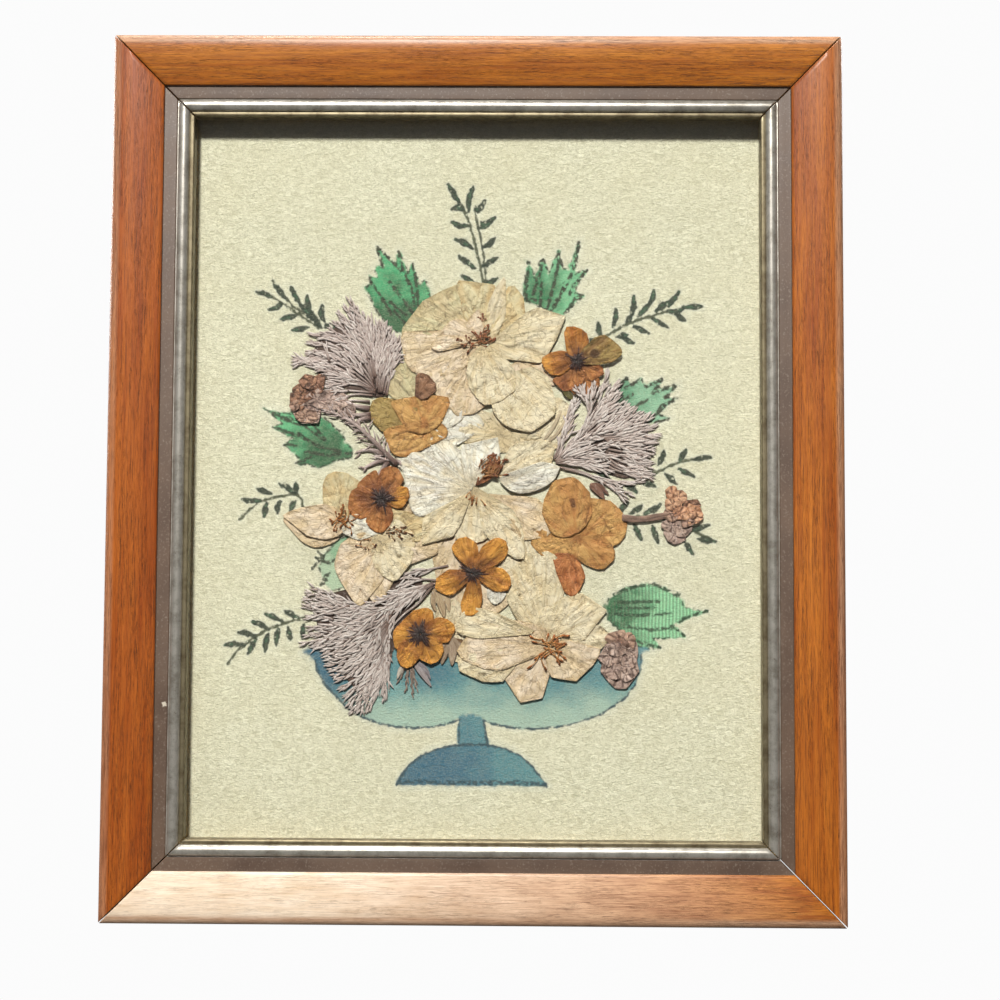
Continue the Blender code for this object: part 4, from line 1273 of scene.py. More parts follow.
def wrinkles(petal, root, loop, seed):
    # small random creases and puckers, most of them running out from the root
    rng = np.random.default_rng(seed + 77)
    middle = loop.mean(0)
    across = np.hypot(*(loop - middle).T).mean()
    found = []
    for i in range(petal.get("wrinkles", int(4 + across * 1.1))):
        start = middle + rng.uniform(-0.75, 0.75, 2) * across
        away = start - root
        heading = math.atan2(away[1], away[0]) + rng.normal(0, 0.55)
        long = across * rng.uniform(0.25, 0.8)
        bend = rng.uniform(-0.5, 0.5)
        path = [start]
        for k in range(3):
            heading += bend * 0.5 + rng.normal(0, 0.12)
            path.append(path[-1] + np.array([math.cos(heading), math.sin(heading)]) * long / 3)
        kind = rng.choice(["step", "ridge", "crease"], p=[0.5, 0.32, 0.18])
        amount = {"step": rng.uniform(0.12, 0.34), "ridge": rng.uniform(0.10, 0.26),
                  "crease": rng.uniform(0.04, 0.09)}
        found.append((kind, amount[kind] * rng.choice([1.0, 1.0, 0.6]), path))
    return found


def petalColours(petal, root, x, z, edgeGap, outward, shade, seed):
    body, deep, edge, blotch, crease = (np.array(c) for c in tints[petal["tint"]])
    bright = petal["tint"] in ("orange", "amber")
    colours = np.tile(body, (len(x), 1))
    colours = blend(colours, blotch,
                    ramp(layeredNoise(x, z, 5.5, seed + 3), 0.40, 0.72) * petal.get("blotch", 0.75))
    reach = petal.get("rootReach", 0.80 if bright else 0.5)
    # painted shade: the valleys between the fan folds are darkened
    paintedValleyShade = ramp(fanFolds(petal, root, x, z, seed), 0.80, 0.45)
    colours = blend(colours, deep, paintedValleyShade * (0.75 - 0.5 * outward if bright else 0.54))
    colours = blend(colours, deep,
                    ramp(outward + (softNoise(x, z, 2.2, seed + 9) - 0.5) * 0.25, reach,
                         reach * 0.15) * 0.8)
    brown = np.exp(-(edgeGap / 0.4) ** 2) * (0.15 + 0.65 * softNoise(x, z, 3.2, seed + 4))
    colours = blend(colours, edge, brown)
    spots = ramp(softNoise(x, z, 1.3, seed + 6), 0.90, 0.97) * ramp(softNoise(x, z, 9.0, seed + 8), 0.45,
                                                                    0.7)
    colours = blend(colours, crease, spots * 0.45)
    for px, pz, size in petal.get("spots", ()):
        d = np.hypot(x - px, z - pz) + (softNoise(x, z, 0.8, 3) - 0.5) * 0.5
        colours = blend(colours, crease, ramp(d, size + 0.25, size - 0.3) * 0.85)
    # painted shade: the low side of each pleat is darkened with the crease colour
    if "pleats" in petal:
        colours = blend(colours, crease,
                        ramp(pleating(petal, x, z, seed), -0.1, -0.9) * 0.85 * ramp(outward, 0.0, 0.3))
    # painted shade from the folds, in the crease colour
    return blend(colours, crease, shade)


def strands(paths, radii, colours, flat=0.75, sides=6, edgeShade=0.55):
    # tapered stalks along paths of (x, height, z), all with the same number of points
    paths, radii, colours = np.asarray(paths, float), np.asarray(radii, float), np.asarray(colours, float)
    count, rings = paths.shape[:2]
    run = np.gradient(paths, axis=1)
    run /= np.maximum(np.linalg.norm(run, axis=2, keepdims=True), 1e-9)
    side = np.cross(run, (0.0, 1.0, 0.0))
    side /= np.maximum(np.linalg.norm(side, axis=2, keepdims=True), 1e-9)
    up = np.cross(side, run)
    a = 2 * np.pi * np.arange(sides) / sides + np.pi / 2
    ringShape = (side[:, :, None, :] * np.cos(a)[None, None, :, None]
                 + up[:, :, None, :] * (np.sin(a) * flat)[None, None, :, None])
    points = paths[:, :, None, :] + ringShape * radii[:, :, None, None]
    # painted shade: each strand is coloured lightest along its top and darker down its sides and
    # underside
    tone = edgeShade + (1 - edgeShade) * (0.5 + 0.5 * np.sin(a)) ** 0.8
    if colours.ndim == 2:
        colours = np.repeat(colours[:, None, :], rings, 1)
    tinted = colours[:, :, None, :] * tone[None, None, :, None]
    length = np.concatenate([np.zeros((count, 1)),
                             np.cumsum(np.linalg.norm(np.diff(paths, axis=1), axis=2), 1)], 1)
    vectors = np.stack(np.broadcast_arrays(length[:, :, None], (a * 0.4)[None, None, :],
                                           (np.arange(count) * 0.73 % 40)[:, None, None]), -1)
    faces = []
    for n in range(count):
        first = n * rings * sides
        for r in range(rings - 1):
            here = first + r * sides
            for s in range(sides):
                t = (s + 1) % sides
                faces.append([here + s, here + sides + s, here + sides + t, here + t])
        last = first + (rings - 1) * sides
        faces.append([first + s for s in range(sides)])
        faces.append([last + s for s in range(sides)][::-1])
    return points.reshape(-1, 3), faces, tinted.reshape(-1, 3), vectors.reshape(-1, 3)


def stamens(spec, seed):
    # a loose tuft of curled threads with a small head on each
    rng = np.random.default_rng(seed)
    paths, radii, colours = [], [], []
    for i in range(spec["count"]):
        start = np.array(spec["at"], float) + rng.uniform(-1, 1, 2) * spec["spread"]
        a = math.radians(spec.get("toward", 0.0) + rng.uniform(-1, 1) * spec.get("fan", 180.0))
        long = rng.uniform(*spec["long"])
        bend = rng.uniform(-1.1, 1.1)
        t = np.linspace(0, 1, 7)
        turn = a + bend * t
        steps = np.stack([np.cos(turn), np.sin(turn)], 1) * long / 6
        flat = start + np.cumsum(steps, 0)
        height = spec["lift"] + rng.uniform(-0.1, 0.25) + 0.2 * np.sin(np.pi * t)
        paths.append(np.stack([flat[:, 0], height, flat[:, 1]], 1))
        head = 0.34 * spec.get("head", 1.0)
        radii.append(np.array([0.15, 0.14, 0.13, 0.12, 0.16, head, 0.20]) * spec.get("thick", 1.0))
        tone = np.array(spec["colour"]) * rng.uniform(0.75, 1.2)
        darker = np.array(spec.get("dark", spec["colour"])) * rng.uniform(0.8, 1.2)
        colours.append(np.stack([tone * (1 - s) + darker * s for s in (0, 0, 0.1, 0.2, 0.6, 1, 1)]))
    return strands(paths, radii, colours, flat=0.9, sides=5)


def petalFinish(name, veined, vein):
    # papery petal skin: fine veins fanning from the root and small cockles
    made, tree, shader = newMaterial(name, Specular_IOR_Level=0.28, Sheen_Weight=0.12,
                                     Sheen_Roughness=0.5)
    tint = attributeNode(tree, "tint").outputs["Color"]
    fibre = attributeNode(tree, "fibre").outputs["Vector"]
    place = placeNode(tree)
    veins = useGroup(tree, fibreGroup, {"Vector": fibre, "Length": 7.0, "Width": 0.55})
    cockle = noiseNode(tree, place, 700.0, 3.0, 0.55, 0.8)
    folded = noiseNode(tree, place, 330.0, 3.0, 0.5, 0.9)
    crease = rampNode(tree, mathNode(tree, "ABSOLUTE", mathNode(tree, "SUBTRACT", folded, 0.5)), 0.0,
                      0.045)
    deeper = mixColour(tree, 1.0, tint, vein, "MULTIPLY")
    colour = mixColour(tree, rampNode(tree, veins.outputs["Streak"], 0.42, 0.66, 0.0, veined), tint,
                       deeper)
    colour = mixColour(tree, rampNode(tree, cockle, 0.55, 0.75, 0.0, 0.10), colour, srgb(186, 158, 120),
                       "MULTIPLY")
    # painted shade: thin crease lines are darkened in colour
    colour = mixColour(tree, rampNode(tree, crease, 0.0, 0.5, 0.34, 0.0), colour, srgb(150, 112, 72),
                       "MULTIPLY")
    lighter = rampNode(tree, veins.outputs["Fine"], 0.58, 0.74, 0.0, 0.12)
    colour = mixColour(tree, lighter, colour, srgb(246, 240, 226), "SCREEN")
    tree.links.new(colour, shader.inputs["Base Color"])
    tree.links.new(rampNode(tree, cockle, 0.3, 0.7, 0.55, 0.78), shader.inputs["Roughness"])
    height = mathNode(tree, "ADD", mathNode(tree, "MULTIPLY", veins.outputs["Streak"], 1.1),
                      mathNode(tree, "MULTIPLY", cockle, 0.35))
    pucker = noiseNode(tree, place, 240.0, 3.0, 0.55, 1.6)
    height = mathNode(tree, "ADD", height, mathNode(tree, "MULTIPLY", pucker, 1.0))
    height = mathNode(tree, "ADD", height, mathNode(tree, "MULTIPLY", crease, 0.45))
    bumpInto(tree, shader, height, 1.0, 0.34)
    return made


def fernFinish():
    # dry, felted strands with lengthwise furrows
    made, tree, shader = newMaterial("dryFern", Specular_IOR_Level=0.22, Sheen_Weight=0.2,
                                     Sheen_Roughness=0.5)
    tint = attributeNode(tree, "tint").outputs["Color"]
    fibre = attributeNode(tree, "fibre").outputs["Vector"]
    furrows = useGroup(tree, fibreGroup, {"Vector": fibre, "Length": 2.6, "Width": 0.16})
    mottle = noiseNode(tree, placeNode(tree), 1100.0, 3.0)
    darker = mixColour(tree, 1.0, tint, srgb(176, 154, 144), "MULTIPLY")
    colour = mixColour(tree, rampNode(tree, furrows.outputs["Streak"], 0.42, 0.62, 0.0, 0.8), tint,
                       darker)
    colour = mixColour(tree, rampNode(tree, mottle, 0.58, 0.74, 0.0, 0.35), colour, srgb(232, 220, 212))
    tree.links.new(colour, shader.inputs["Base Color"])
    tree.links.new(rampNode(tree, mottle, 0.3, 0.7, 0.70, 0.92), shader.inputs["Roughness"])
    bumpInto(tree, shader, furrows.outputs["Streak"], 0.4, 0.10)
    return made


palePetal = petalFinish("palePetal", 0.42, srgb(236, 222, 198))
brightPetal = petalFinish("brightPetal", 0.75, srgb(200, 168, 132))
dryFern = fernFinish()

creamPieces = [
    dict(name="creamPetalsBehind", node="cream_petals_behind", root=(8, 14), petals=[
        dict(tint="pale", lift=0.45,
             edge=[(-11, 17), (-9, 13), (-4, 14), (2, 10), (10, 8), (15, 12), (10, 19), (0, 22),
                   (-8, 22)],
             folds=[("ridge", 0.2, [(-6, 16), (2, 15), (10, 14)])]),
        dict(tint="pale", lift=0.5,
             edge=[(12, 9), (19, 7), (26, 9.4), (28, 14), (30, 20), (28, 25), (22, 22), (15, 20)],
             crumple=0.24, lump=2.6, folds=[("step", 0.3, [(15, 10), (20, 14), (25, 20)])]),
        dict(tint="pale", lift=0.4, edge=[(5, 20), (12, 15), (20, 13), (24, 17), (20, 21), (10, 24)],
             crumple=0.2, lump=3.0),
        dict(tint="cream", lift=0.35,
             edge=[(-14, -24), (-6, -21), (4, -22), (12, -26), (14, -36), (10, -44), (2, -48), (-6, -46),
                   (-11, -41), (-13, -32)]),
        dict(tint="pale", lift=0.3,
             edge=[(-10, -42), (-4, -44), (0, -50), (-2, -60), (-7, -62), (-12, -55), (-13, -47)]),
        dict(tint="pale", lift=0.5,
             edge=[(8, -22), (18, -19), (25, -23), (28, -28), (22, -34), (14, -40), (8, -34)]),
        dict(tint="white", lift=0.5,
             edge=[(-12, 8), (-5, 12), (2, 17), (-2, 22), (-9, 22.4), (-14, 19), (-13, 13)]),
        dict(tint="cream", lift=0.5,
             edge=[(12, 38), (22, 40.4), (25.6, 37), (26.4, 31), (22, 32), (14, 34)]),
        dict(tint="pale", lift=0.3, edge=[(22, 24), (27, 26), (31, 24), (32, 17), (27, 11), (20, 12)],
             crumple=0.25, lump=2.4),
        dict(tint="cream", lift=0.4,
             edge=[(-24, -8), (-20, -12), (-13, -14), (-10, -21), (-16, -25), (-24, -20), (-28, -13)]),
        dict(tint="white", lift=0.5,
             edge=[(-27, 6), (-21, 8.6), (-13, 10), (-13, 4), (-19, 1.4), (-25, 2)]),
        dict(tint="white", lift=1.1,
             edge=[(4.6, -38.4), (8.4, -37.6), (10, -40), (7.4, -43), (4.8, -41.6)], ragged=0.3)]),
    dict(name="creamFlowerTop", node="cream_flower_top", root=(2, 46), petals=[
        dict(tint="veil", lift=0.7,
             edge=[(-25, 48), (-23.6, 52), (-19.4, 55), (-18, 59.4), (-14, 59.6), (-11.6, 62.6), (-8, 62),
                   (-5.5, 65.5), (-3, 60), (0, 52), (-8, 46), (-18, 44)],
             folds=[("ridge", 0.2, [(-20, 50), (-12, 55), (-6, 62)]),
                    ("step", 0.2, [(-16, 49), (-9, 54), (-3, 56)])]),
        dict(tint="yellow", lift=0.85,
             edge=[(-6, 66), (0, 64.5), (5, 64.6), (8, 58), (6, 50), (2, 45), (-2, 51), (-5, 59)],
             folds=[("step", 0.2, [(-3, 62), (-1, 56), (1, 50)])]),
        dict(tint="yellow", lift=0.85,
             edge=[(6, 46.6), (7, 54), (9, 60), (11.5, 65), (15, 61.5), (16, 56), (15.5, 51), (12, 49)],
             folds=[("crease", 0.25, [(7, 47.6), (11, 49.2), (15.4, 51.6)]),
                    ("ridge", 0.2, [(8, 50), (12, 58)])]),
        dict(tint="pale", lift=1.1,
             edge=[(3, 48), (3.6, 55), (6, 63), (9.5, 67.6), (9.4, 60), (8.4, 52), (5.4, 46)],
             folds=[("crease", 0.14, [(5.4, 50), (6.6, 57), (8.6, 64)])]),
        dict(tint="cream", lift=1.05,
             edge=[(-25, 48), (-24.6, 43), (-23.4, 38), (-20.5, 35), (-13, 33.6), (-5, 36), (1, 41),
                   (0, 46), (-8, 48.6), (-17, 48.6)],
             folds=[("crease", 0.2, [(-20.6, 41), (-17, 42.4), (-14.4, 44.4)]),
                    ("crease", 0.12, [(-20.4, 39.2), (-16.6, 40), (-12.6, 42)]),
                    ("ridge", 0.2, [(-18, 38), (-8, 40), (0, 44)]),
                    ("slit", 0.3, [(-11.6, 41.8), (-8, 43.2), (-4.4, 45.2)])],
             spots=[(-5, 38, 0.5), (-7, 38.8, 0.35), (-3.4, 37.2, 0.4)]),
        dict(tint="cream", lift=0.95,
             edge=[(-20.5, 35), (-13.5, 30.5), (-12, 29), (-9.3, 25.4), (-8, 22), (-5.3, 20.4),
                   (-0.7, 21.4), (3, 25), (4, 33), (2, 41), (-6, 40), (-14, 37)],
             folds=[("ridge", 0.22, [(-12, 33), (-5, 32), (0, 28)]),
                    ("step", 0.22, [(0, 38), (-6, 31), (-9, 25)])]),
        dict(tint="white", lift=0.8, edge=[(-12.4, 21), (-9.8, 16.2), (-4, 20.4), (-5.6, 23)],
             ragged=0.15),
        dict(tint="pale", lift=1.2,
             edge=[(5, 46), (12, 48.6), (16, 54), (20, 56.5), (26, 55), (29.3, 54), (28.2, 51),
                   (26.8, 46.7), (24.5, 43.2), (22.5, 40), (18, 39), (12, 39.6), (6, 41)],
             folds=[("step", 0.42, [(9, 44), (13, 44.2), (18, 46), (22.4, 45)]),
                    ("step", 0.24, [(11, 46.2), (17, 48.6), (24, 50)]),
                    ("ridge", 0.18, [(14, 50.4), (20, 53.6), (27, 52.6)])]),
        dict(tint="pale", lift=1.4,
             edge=[(8, 33), (13, 35), (18, 36.5), (22, 35), (25, 31), (26.8, 26.5), (26.5, 22.5),
                   (24, 19.5), (21.5, 17.4), (18, 15.6), (13, 16.2), (9, 17.9), (6.5, 20), (5.4, 25)],
             curl=0.3, rise=0.25,
             folds=[("ridge", 0.16, [(12, 32), (18, 26), (21, 19)]),
                    ("step", 0.14, [(13, 29), (12, 24), (14, 18)])]),
        dict(tint="pale", lift=1.75,
             edge=[(0, 43), (6, 42.4), (12, 36.6), (13.4, 32.5), (12.5, 29), (10, 27), (6.4, 25), (3, 24),
                   (-0.7, 28), (-3, 35)],
             curl=0.25, folds=[("step", 0.34, [(-2.6, 34.6), (-1.4, 31.6), (0, 29.4), (3.6, 32.6)]),
                               ("ridge", 0.15, [(3, 40), (6, 33), (8, 28)]),
                               ("crease", 0.1, [(4.6, 38), (9, 34)])]),
        dict(tint="cream", lift=1.65,
             edge=[(-15.4, 42.8), (-12.4, 48), (-8, 52), (-4, 52.4), (-1, 49), (-3, 45.6), (-6, 44.4),
                   (-10, 43)],
             curl=0.3, folds=[("ridge", 0.2, [(-12, 45.6), (-8, 48.6), (-4, 49)]),
                              ("crease", 0.1, [(-9.6, 50), (-6, 47.6)])]),
        dict(tint="cream", lift=1.55,
             edge=[(-3, 50), (-1.6, 54), (0.8, 56), (2.4, 52), (2, 47), (-1, 46)], crumple=0.2,
             lump=2.2)],
        tufts=[dict(at=(1.8, 46.4), spread=(1.6, 2.6), count=26, long=(1.6, 4.4), lift=1.8, toward=70,
                    fan=120,
                    colour=srgb(186, 122, 78), dark=srgb(138, 78, 44)),
               dict(at=(-3, 44.6), spread=(1.6, 0.9), count=9, long=(1.2, 2.6), lift=1.7, toward=170,
                    fan=60,
                    colour=srgb(176, 116, 76), dark=srgb(120, 68, 40)),
               dict(at=(2.4, 53), spread=(0.7, 1.2), count=6, long=(1.0, 2.0), lift=1.55, toward=90,
                    fan=40,
                    colour=srgb(196, 132, 92), dark=srgb(150, 84, 54))]),
    dict(name="creamFlowerMiddle", node="cream_flower_middle", root=(-1, -5), petals=[
        dict(tint="white", lift=1.0,
             edge=[(-14.4, 12.8), (-12, 13), (-9, 11.5), (-5.4, 8.5), (-3, 5), (-0.6, -1), (-2, -4.4),
                   (-7, -1), (-9, 1), (-11, 3), (-13.6, 6.5), (-14.8, 10)],
             folds=[("ridge", 0.2, [(-12, 10), (-8, 6), (-4, 0)]),
                    ("step", 0.22, [(-13, 8), (-9.4, 4.6), (-6, 0)])]),
        dict(tint="white", lift=1.2,
             edge=[(-5, 8.8), (-1, 10.5), (4, 10.5), (7.3, 12.9), (7.8, 9), (7.6, 6.4), (2.6, 4), (1, -2),
                   (-2, -4.4), (-3.6, 2)],
             folds=[("ridge", 0.2, [(5, 10), (1, 4), (-1, -2)]),
                    ("crease", 0.12, [(-3, 7.6), (-1.6, 2), (-1.4, -2)])]),
        dict(tint="pale", lift=1.0,
             edge=[(8, -1), (10, 6), (13, 10), (18, 11.5), (24, 11), (26, 9), (25.4, 6.1), (23, 2),
                   (19, -1.4), (13, -3)],
             folds=[("ridge", 0.2, [(10, 1), (16, 6), (23, 8)]),
                    ("step", 0.22, [(11, 4), (17, 8.4), (24, 9.6)]),
                    ("crease", 0.1, [(12, 1), (18, 4)])]),
        dict(tint="cream", lift=0.95,
             edge=[(0, -6), (7, -8), (14, -8), (20, -7.5), (26, -13.5), (24.5, -15), (25, -19.5),
                   (21, -20.5), (16, -21.5), (14, -16), (7, -11)],
             folds=[("ridge", 0.2, [(8, -9.4), (16, -12), (23, -16)]),
                    ("step", 0.2, [(9, -11), (15, -14.6), (20, -20)])]),
        dict(tint="pale", lift=1.15,
             edge=[(-1.6, -4), (-5, -12), (-5.6, -17), (-6.6, -20), (-6, -22), (0, -22.4), (4, -20),
                   (3, -12), (1, -6)],
             folds=[("ridge", 0.18, [(-1, -7), (-2, -14), (-3, -21)]),
                    ("step", 0.18, [(0.6, -8), (1, -14), (0, -21)])]),
        dict(tint="pale", lift=1.3,
             edge=[(-0.6, -4), (5, -7.4), (12, -11.4), (15.4, -15), (16, -22), (15.6, -28), (12.4, -27),
                   (10, -24), (5, -22), (1.6, -14)],
             folds=[("ridge", 0.2, [(2, -8), (8, -15), (13, -25)]),
                    ("step", 0.2, [(3, -7.6), (9, -12.6), (14.6, -19)]),
                    ("crease", 0.1, [(2, -9), (5, -15), (8, -21)])]),
        dict(tint="white", lift=1.35,
             edge=[(-1.4, -3.4), (-6, -0.6), (-11, 3), (-16, 7.5), (-21, 7), (-24.7, 5.2), (-24.5, 3),
                   (-23.5, -1), (-22.5, -6), (-22, -9.5), (-20, -13), (-17, -13.5), (-10, -9.5),
                   (-3, -7)],
             folds=[("ridge", 0.2, [(-4, -4.6), (-12, -3), (-22, 1)]),
                    ("step", 0.2, [(-5, -6), (-12, -7), (-20, -9)]),
                    ("crease", 0.1, [(-5, -3), (-13, 1), (-19, 5)])]),
        dict(tint="pale", lift=1.6,
             edge=[(-2, -5.6), (-10, -11), (-17, -14), (-16.5, -18), (-17.4, -22.8), (-14.5, -21.5),
                   (-8, -19.8), (-5.5, -16), (-4.4, -11), (-1.6, -7)],
             curl=0.28, folds=[("ridge", 0.2, [(-4, -8), (-10, -14), (-15.6, -20)])]),
        dict(tint="white", lift=1.65,
             edge=[(9, -2), (10.4, 0.4), (14, -0.6), (19.4, 0.2), (22, 4.5), (27.6, 3.6), (27, 0.5),
                   (24.6, -3), (19, -4.6), (13, -5.5)],
             curl=0.3, folds=[("step", 0.34,
                               [(10.4, -0.6), (14, -3), (18, -3), (22, -0.6), (23.6, 2.6)])]),
        dict(tint="amber", lift=1.35,
             edge=[(0.8, -2.6), (1.6, 1.2), (3, 3), (5, 5.2), (7.2, 6.6), (8.4, 4), (8, 1), (5, -1)],
             crumple=0.3, lump=1.2, ragged=1.2, nicks=1.4,
             folds=[("crease", 0.2, [(1.6, -1.6), (4.6, 2.4), (7.6, 6)]),
                    ("crease", 0.2, [(2.4, -1.6), (6, 0.6), (8.6, 3)])])],
        tufts=[dict(at=(3.4, 1.2), spread=(2.6, 2.2), count=54, long=(2.4, 6.2), lift=1.8, toward=42,
                    fan=34,
                    colour=srgb(204, 146, 92), dark=srgb(128, 70, 36), thick=1.2),
               dict(at=(-0.6, -6.4), spread=(2.0, 1.4), count=10, long=(1.4, 3.0), lift=1.65, toward=250,
                    fan=80,
                    colour=srgb(206, 150, 96), dark=srgb(170, 104, 56))]),
    dict(name="creamFlowerBottom", node="cream_flower_bottom", root=(24, -56), petals=[
        dict(tint="pale", lift=0.9,
             edge=[(16, -29), (21, -27), (24.3, -25.7), (27, -28), (29, -33), (30, -38.4), (29.5, -42),
                   (27.6, -45), (25, -54), (18, -53), (14.6, -48), (11.6, -42), (11, -33)],
             folds=[("step", 0.25, [(24.6, -27), (24, -35), (23.4, -44), (22, -50)]),
                    ("ridge", 0.18, [(17, -32), (17, -42), (19, -50)]),
                    ("crease", 0.1, [(27, -31), (27.6, -40)])]),
        dict(tint="pale", lift=1.1,
             edge=[(23, -46), (30, -41), (36, -40), (40, -43), (43.5, -45), (43, -46.5), (40, -50),
                   (36.5, -54), (30, -56), (24, -57), (21.6, -51)],
             folds=[("ridge", 0.2, [(26, -53), (32, -47), (39, -44)]),
                    ("step", 0.2, [(26, -55), (33, -51), (40, -47.6)]),
                    ("crease", 0.12, [(28, -50), (36, -43)])]),
        dict(tint="pale", lift=0.8,
             edge=[(33, -54), (37, -52), (41, -50.5), (45.5, -54.5), (42, -56.5), (41.5, -59),
                   (36, -60)]),
        dict(tint="cream", lift=1.25, ragged=0.5, torn=0.6, nicks=0.6,
             edge=[(24, -56), (30, -55.4), (36, -56.6), (41, -57.6), (41.6, -59.4), (39.6, -63.6),
                   (37.4, -62.6), (35, -63.6), (35.2, -66.4), (34, -68.6), (32.4, -67.4), (29.4, -68),
                   (26, -67.2), (24.6, -63)],
             folds=[("step", 0.2, [(26, -58), (33, -61), (40, -62)]),
                    ("ridge", 0.2, [(26, -61), (31, -66)])]),
        dict(tint="cream", lift=1.0, ragged=0.5, torn=0.5, nicks=0.6,
             edge=[(12, -62), (10, -67.8), (12.8, -70.4), (14.6, -74.4), (15.5, -76), (16.4, -75.2),
                   (18.5, -71.6), (20.6, -73.2), (22.2, -75), (23, -73.4), (24.6, -67.4), (26, -63),
                   (24, -57), (18, -57)],
             folds=[("ridge", 0.2, [(21, -60), (17, -68), (15.6, -75)]),
                    ("step", 0.24, [(23, -68), (19, -70.6), (21, -75)])]),
        dict(tint="pale", lift=1.1,
             edge=[(-5, -60), (-4.5, -65), (0, -67.5), (5, -68.8), (9.5, -68.3), (12.4, -64), (15, -60),
                   (4, -57)],
             folds=[("step", 0.24, [(0, -63.4), (4.5, -63.8), (8, -65.8), (13, -63.8)])],
             spots=[(3, -66.5, 0.8), (1.9, -66.2, 0.5)]),
        dict(tint="cream", lift=1.4,
             edge=[(-5, -57), (0, -52), (4, -48), (12, -49.4), (20, -50.4), (25, -54), (23, -59),
                   (15, -62), (8, -65), (0, -63), (-5, -60)],
             folds=[("ridge", 0.2, [(20, -55), (10, -57), (-2, -58)]),
                    ("step", 0.22, [(20, -57.6), (12, -60.4), (2, -60.4)]),
                    ("crease", 0.1, [(18, -53), (8, -53.4), (2, -52)])]),
        dict(tint="pale", lift=1.65,
             edge=[(-6, -52), (-3, -46), (2, -45), (8, -47), (11, -49.6), (20, -52), (14, -53.6),
                   (7, -52.6), (2, -54.5)],
             curl=0.3, folds=[("step", 0.25, [(19, -51), (12, -50.4), (8.6, -49), (6.6, -47.4)]),
                              ("ridge", 0.16, [(-3, -50), (4, -49.4)])])],
        tufts=[dict(at=(24.5, -57), spread=(2.6, 2.8), count=34, long=(2.4, 6.4), lift=1.75, toward=300,
                    fan=150,
                    colour=srgb(214, 152, 90), dark=srgb(168, 100, 50), thick=1.25)]),
    dict(name="creamFlowerLeft", node="cream_flower_left", root=(-44, -15), petals=[
        dict(tint="yellow", lift=0.8,
             edge=[(-50.4, -11), (-51.6, -4), (-50, 0), (-46, 1), (-42, -1), (-37, -4), (-37, -11),
                   (-42, -14), (-47, -14)],
             folds=[("step", 0.2, [(-45, -12), (-46, -6), (-48, 0)]),
                    ("ridge", 0.16, [(-43, -11), (-42, -3)])]),
        dict(tint="cream", lift=0.65,
             edge=[(-64.4, -15), (-61, -19), (-58, -22), (-54.5, -24), (-51, -23), (-47, -21.6),
                   (-46, -17), (-56, -14)],
             folds=[("crease", 0.1, [(-61, -17.4), (-55, -21.6), (-49, -21.6)])]),
        dict(tint="cream", lift=1.3,
             edge=[(-64.6, -13.8), (-58, -11.5), (-50, -10), (-45, -13), (-43.4, -17), (-46.6, -20.4),
                   (-50, -21.3), (-56, -20.5), (-58.6, -17.6)],
             curl=0.26, folds=[("ridge", 0.18, [(-46, -16), (-53, -15), (-61, -14)]),
                               ("crease", 0.12, [(-51, -10.6), (-54, -12.4), (-58, -12.6)]),
                               ("step", 0.2, [(-47, -19), (-53, -18), (-59, -16)])]),
        dict(tint="white", lift=1.35,
             edge=[(-45, -15), (-41, -13.6), (-38, -14), (-35, -16), (-32.6, -19), (-36, -20.5),
                   (-41, -21), (-45, -19)],
             folds=[("ridge", 0.2, [(-42, -18), (-36, -17)])])],
        tufts=[dict(at=(-44.4, -15.4), spread=(2.6, 2.0), count=26, long=(1.4, 4.0), lift=1.75,
                    toward=160, fan=170,
                    colour=srgb(206, 136, 66), dark=srgb(146, 84, 36), thick=1.15)]),
    dict(name="creamPetalsLowerLeft", node="cream_petals_lower_left", root=(-32, -23), petals=[
        dict(tint="cream", lift=0.75,
             edge=[(-34, -38), (-35.2, -40.5), (-33.5, -43), (-31, -42), (-29.5, -39), (-28, -36),
                   (-27, -30), (-33, -31)]),
        dict(tint="cream", lift=1.0,
             edge=[(-38, -19.4), (-42, -21), (-45, -25), (-47, -29), (-46.5, -33), (-45, -36), (-42, -40),
                   (-39, -43.5), (-37, -42), (-34, -39), (-31.4, -35), (-30, -28), (-32, -20)],
             folds=[("crease", 0.14, [(-46.6, -30), (-44.4, -31.6), (-42.4, -32)]),
                    ("crease", 0.12, [(-38.6, -33), (-37.6, -32)]),
                    ("ridge", 0.2, [(-34, -24), (-38, -31), (-39, -40)]),
                    ("step", 0.2, [(-36, -24), (-41, -30), (-44, -36)])],
             spots=[(-35, -24, 0.5), (-37, -26, 0.3)]),
        dict(tint="yellow", lift=1.1,
             edge=[(-30, -12), (-25, -12.6), (-19, -14), (-15.6, -18), (-19, -22), (-26, -21),
                   (-31, -17)],
             folds=[("crease", 0.2, [(-28, -14), (-24, -17), (-20, -20)]),
                    ("crease", 0.2, [(-26, -13), (-21, -16)])], crumple=0.2, lump=2.4),
        dict(tint="cream", lift=0.95,
             edge=[(-22, -21), (-17, -22.6), (-14, -22), (-12.4, -24.5), (-14, -27), (-19, -28.5),
                   (-23, -30.5), (-24, -25)],
             folds=[("crease", 0.12, [(-21, -23.4), (-17, -25), (-13.6, -25)])]),
        dict(tint="pale", lift=1.25,
             edge=[(-34, -21), (-31, -18), (-28, -15.4), (-25, -16), (-20.6, -20), (-20.6, -24),
                   (-21.5, -29), (-23, -30.5), (-26, -35), (-31, -33.4), (-34.4, -28)],
             folds=[("ridge", 0.2, [(-31, -22), (-26, -26), (-25, -33)]),
                    ("step", 0.2, [(-29, -19), (-25, -23), (-22, -28)]),
                    ("crease", 0.14, [(-31, -33), (-28, -33.8), (-26, -34.4)])],
             spots=[(-31.5, -26, 0.45), (-25.6, -27.2, 0.9), (-26.4, -26.4, 0.5)])],
        tufts=[dict(at=(-28, -19), spread=(3.4, 2.0), count=14, long=(1.6, 4.2), lift=1.6, toward=330,
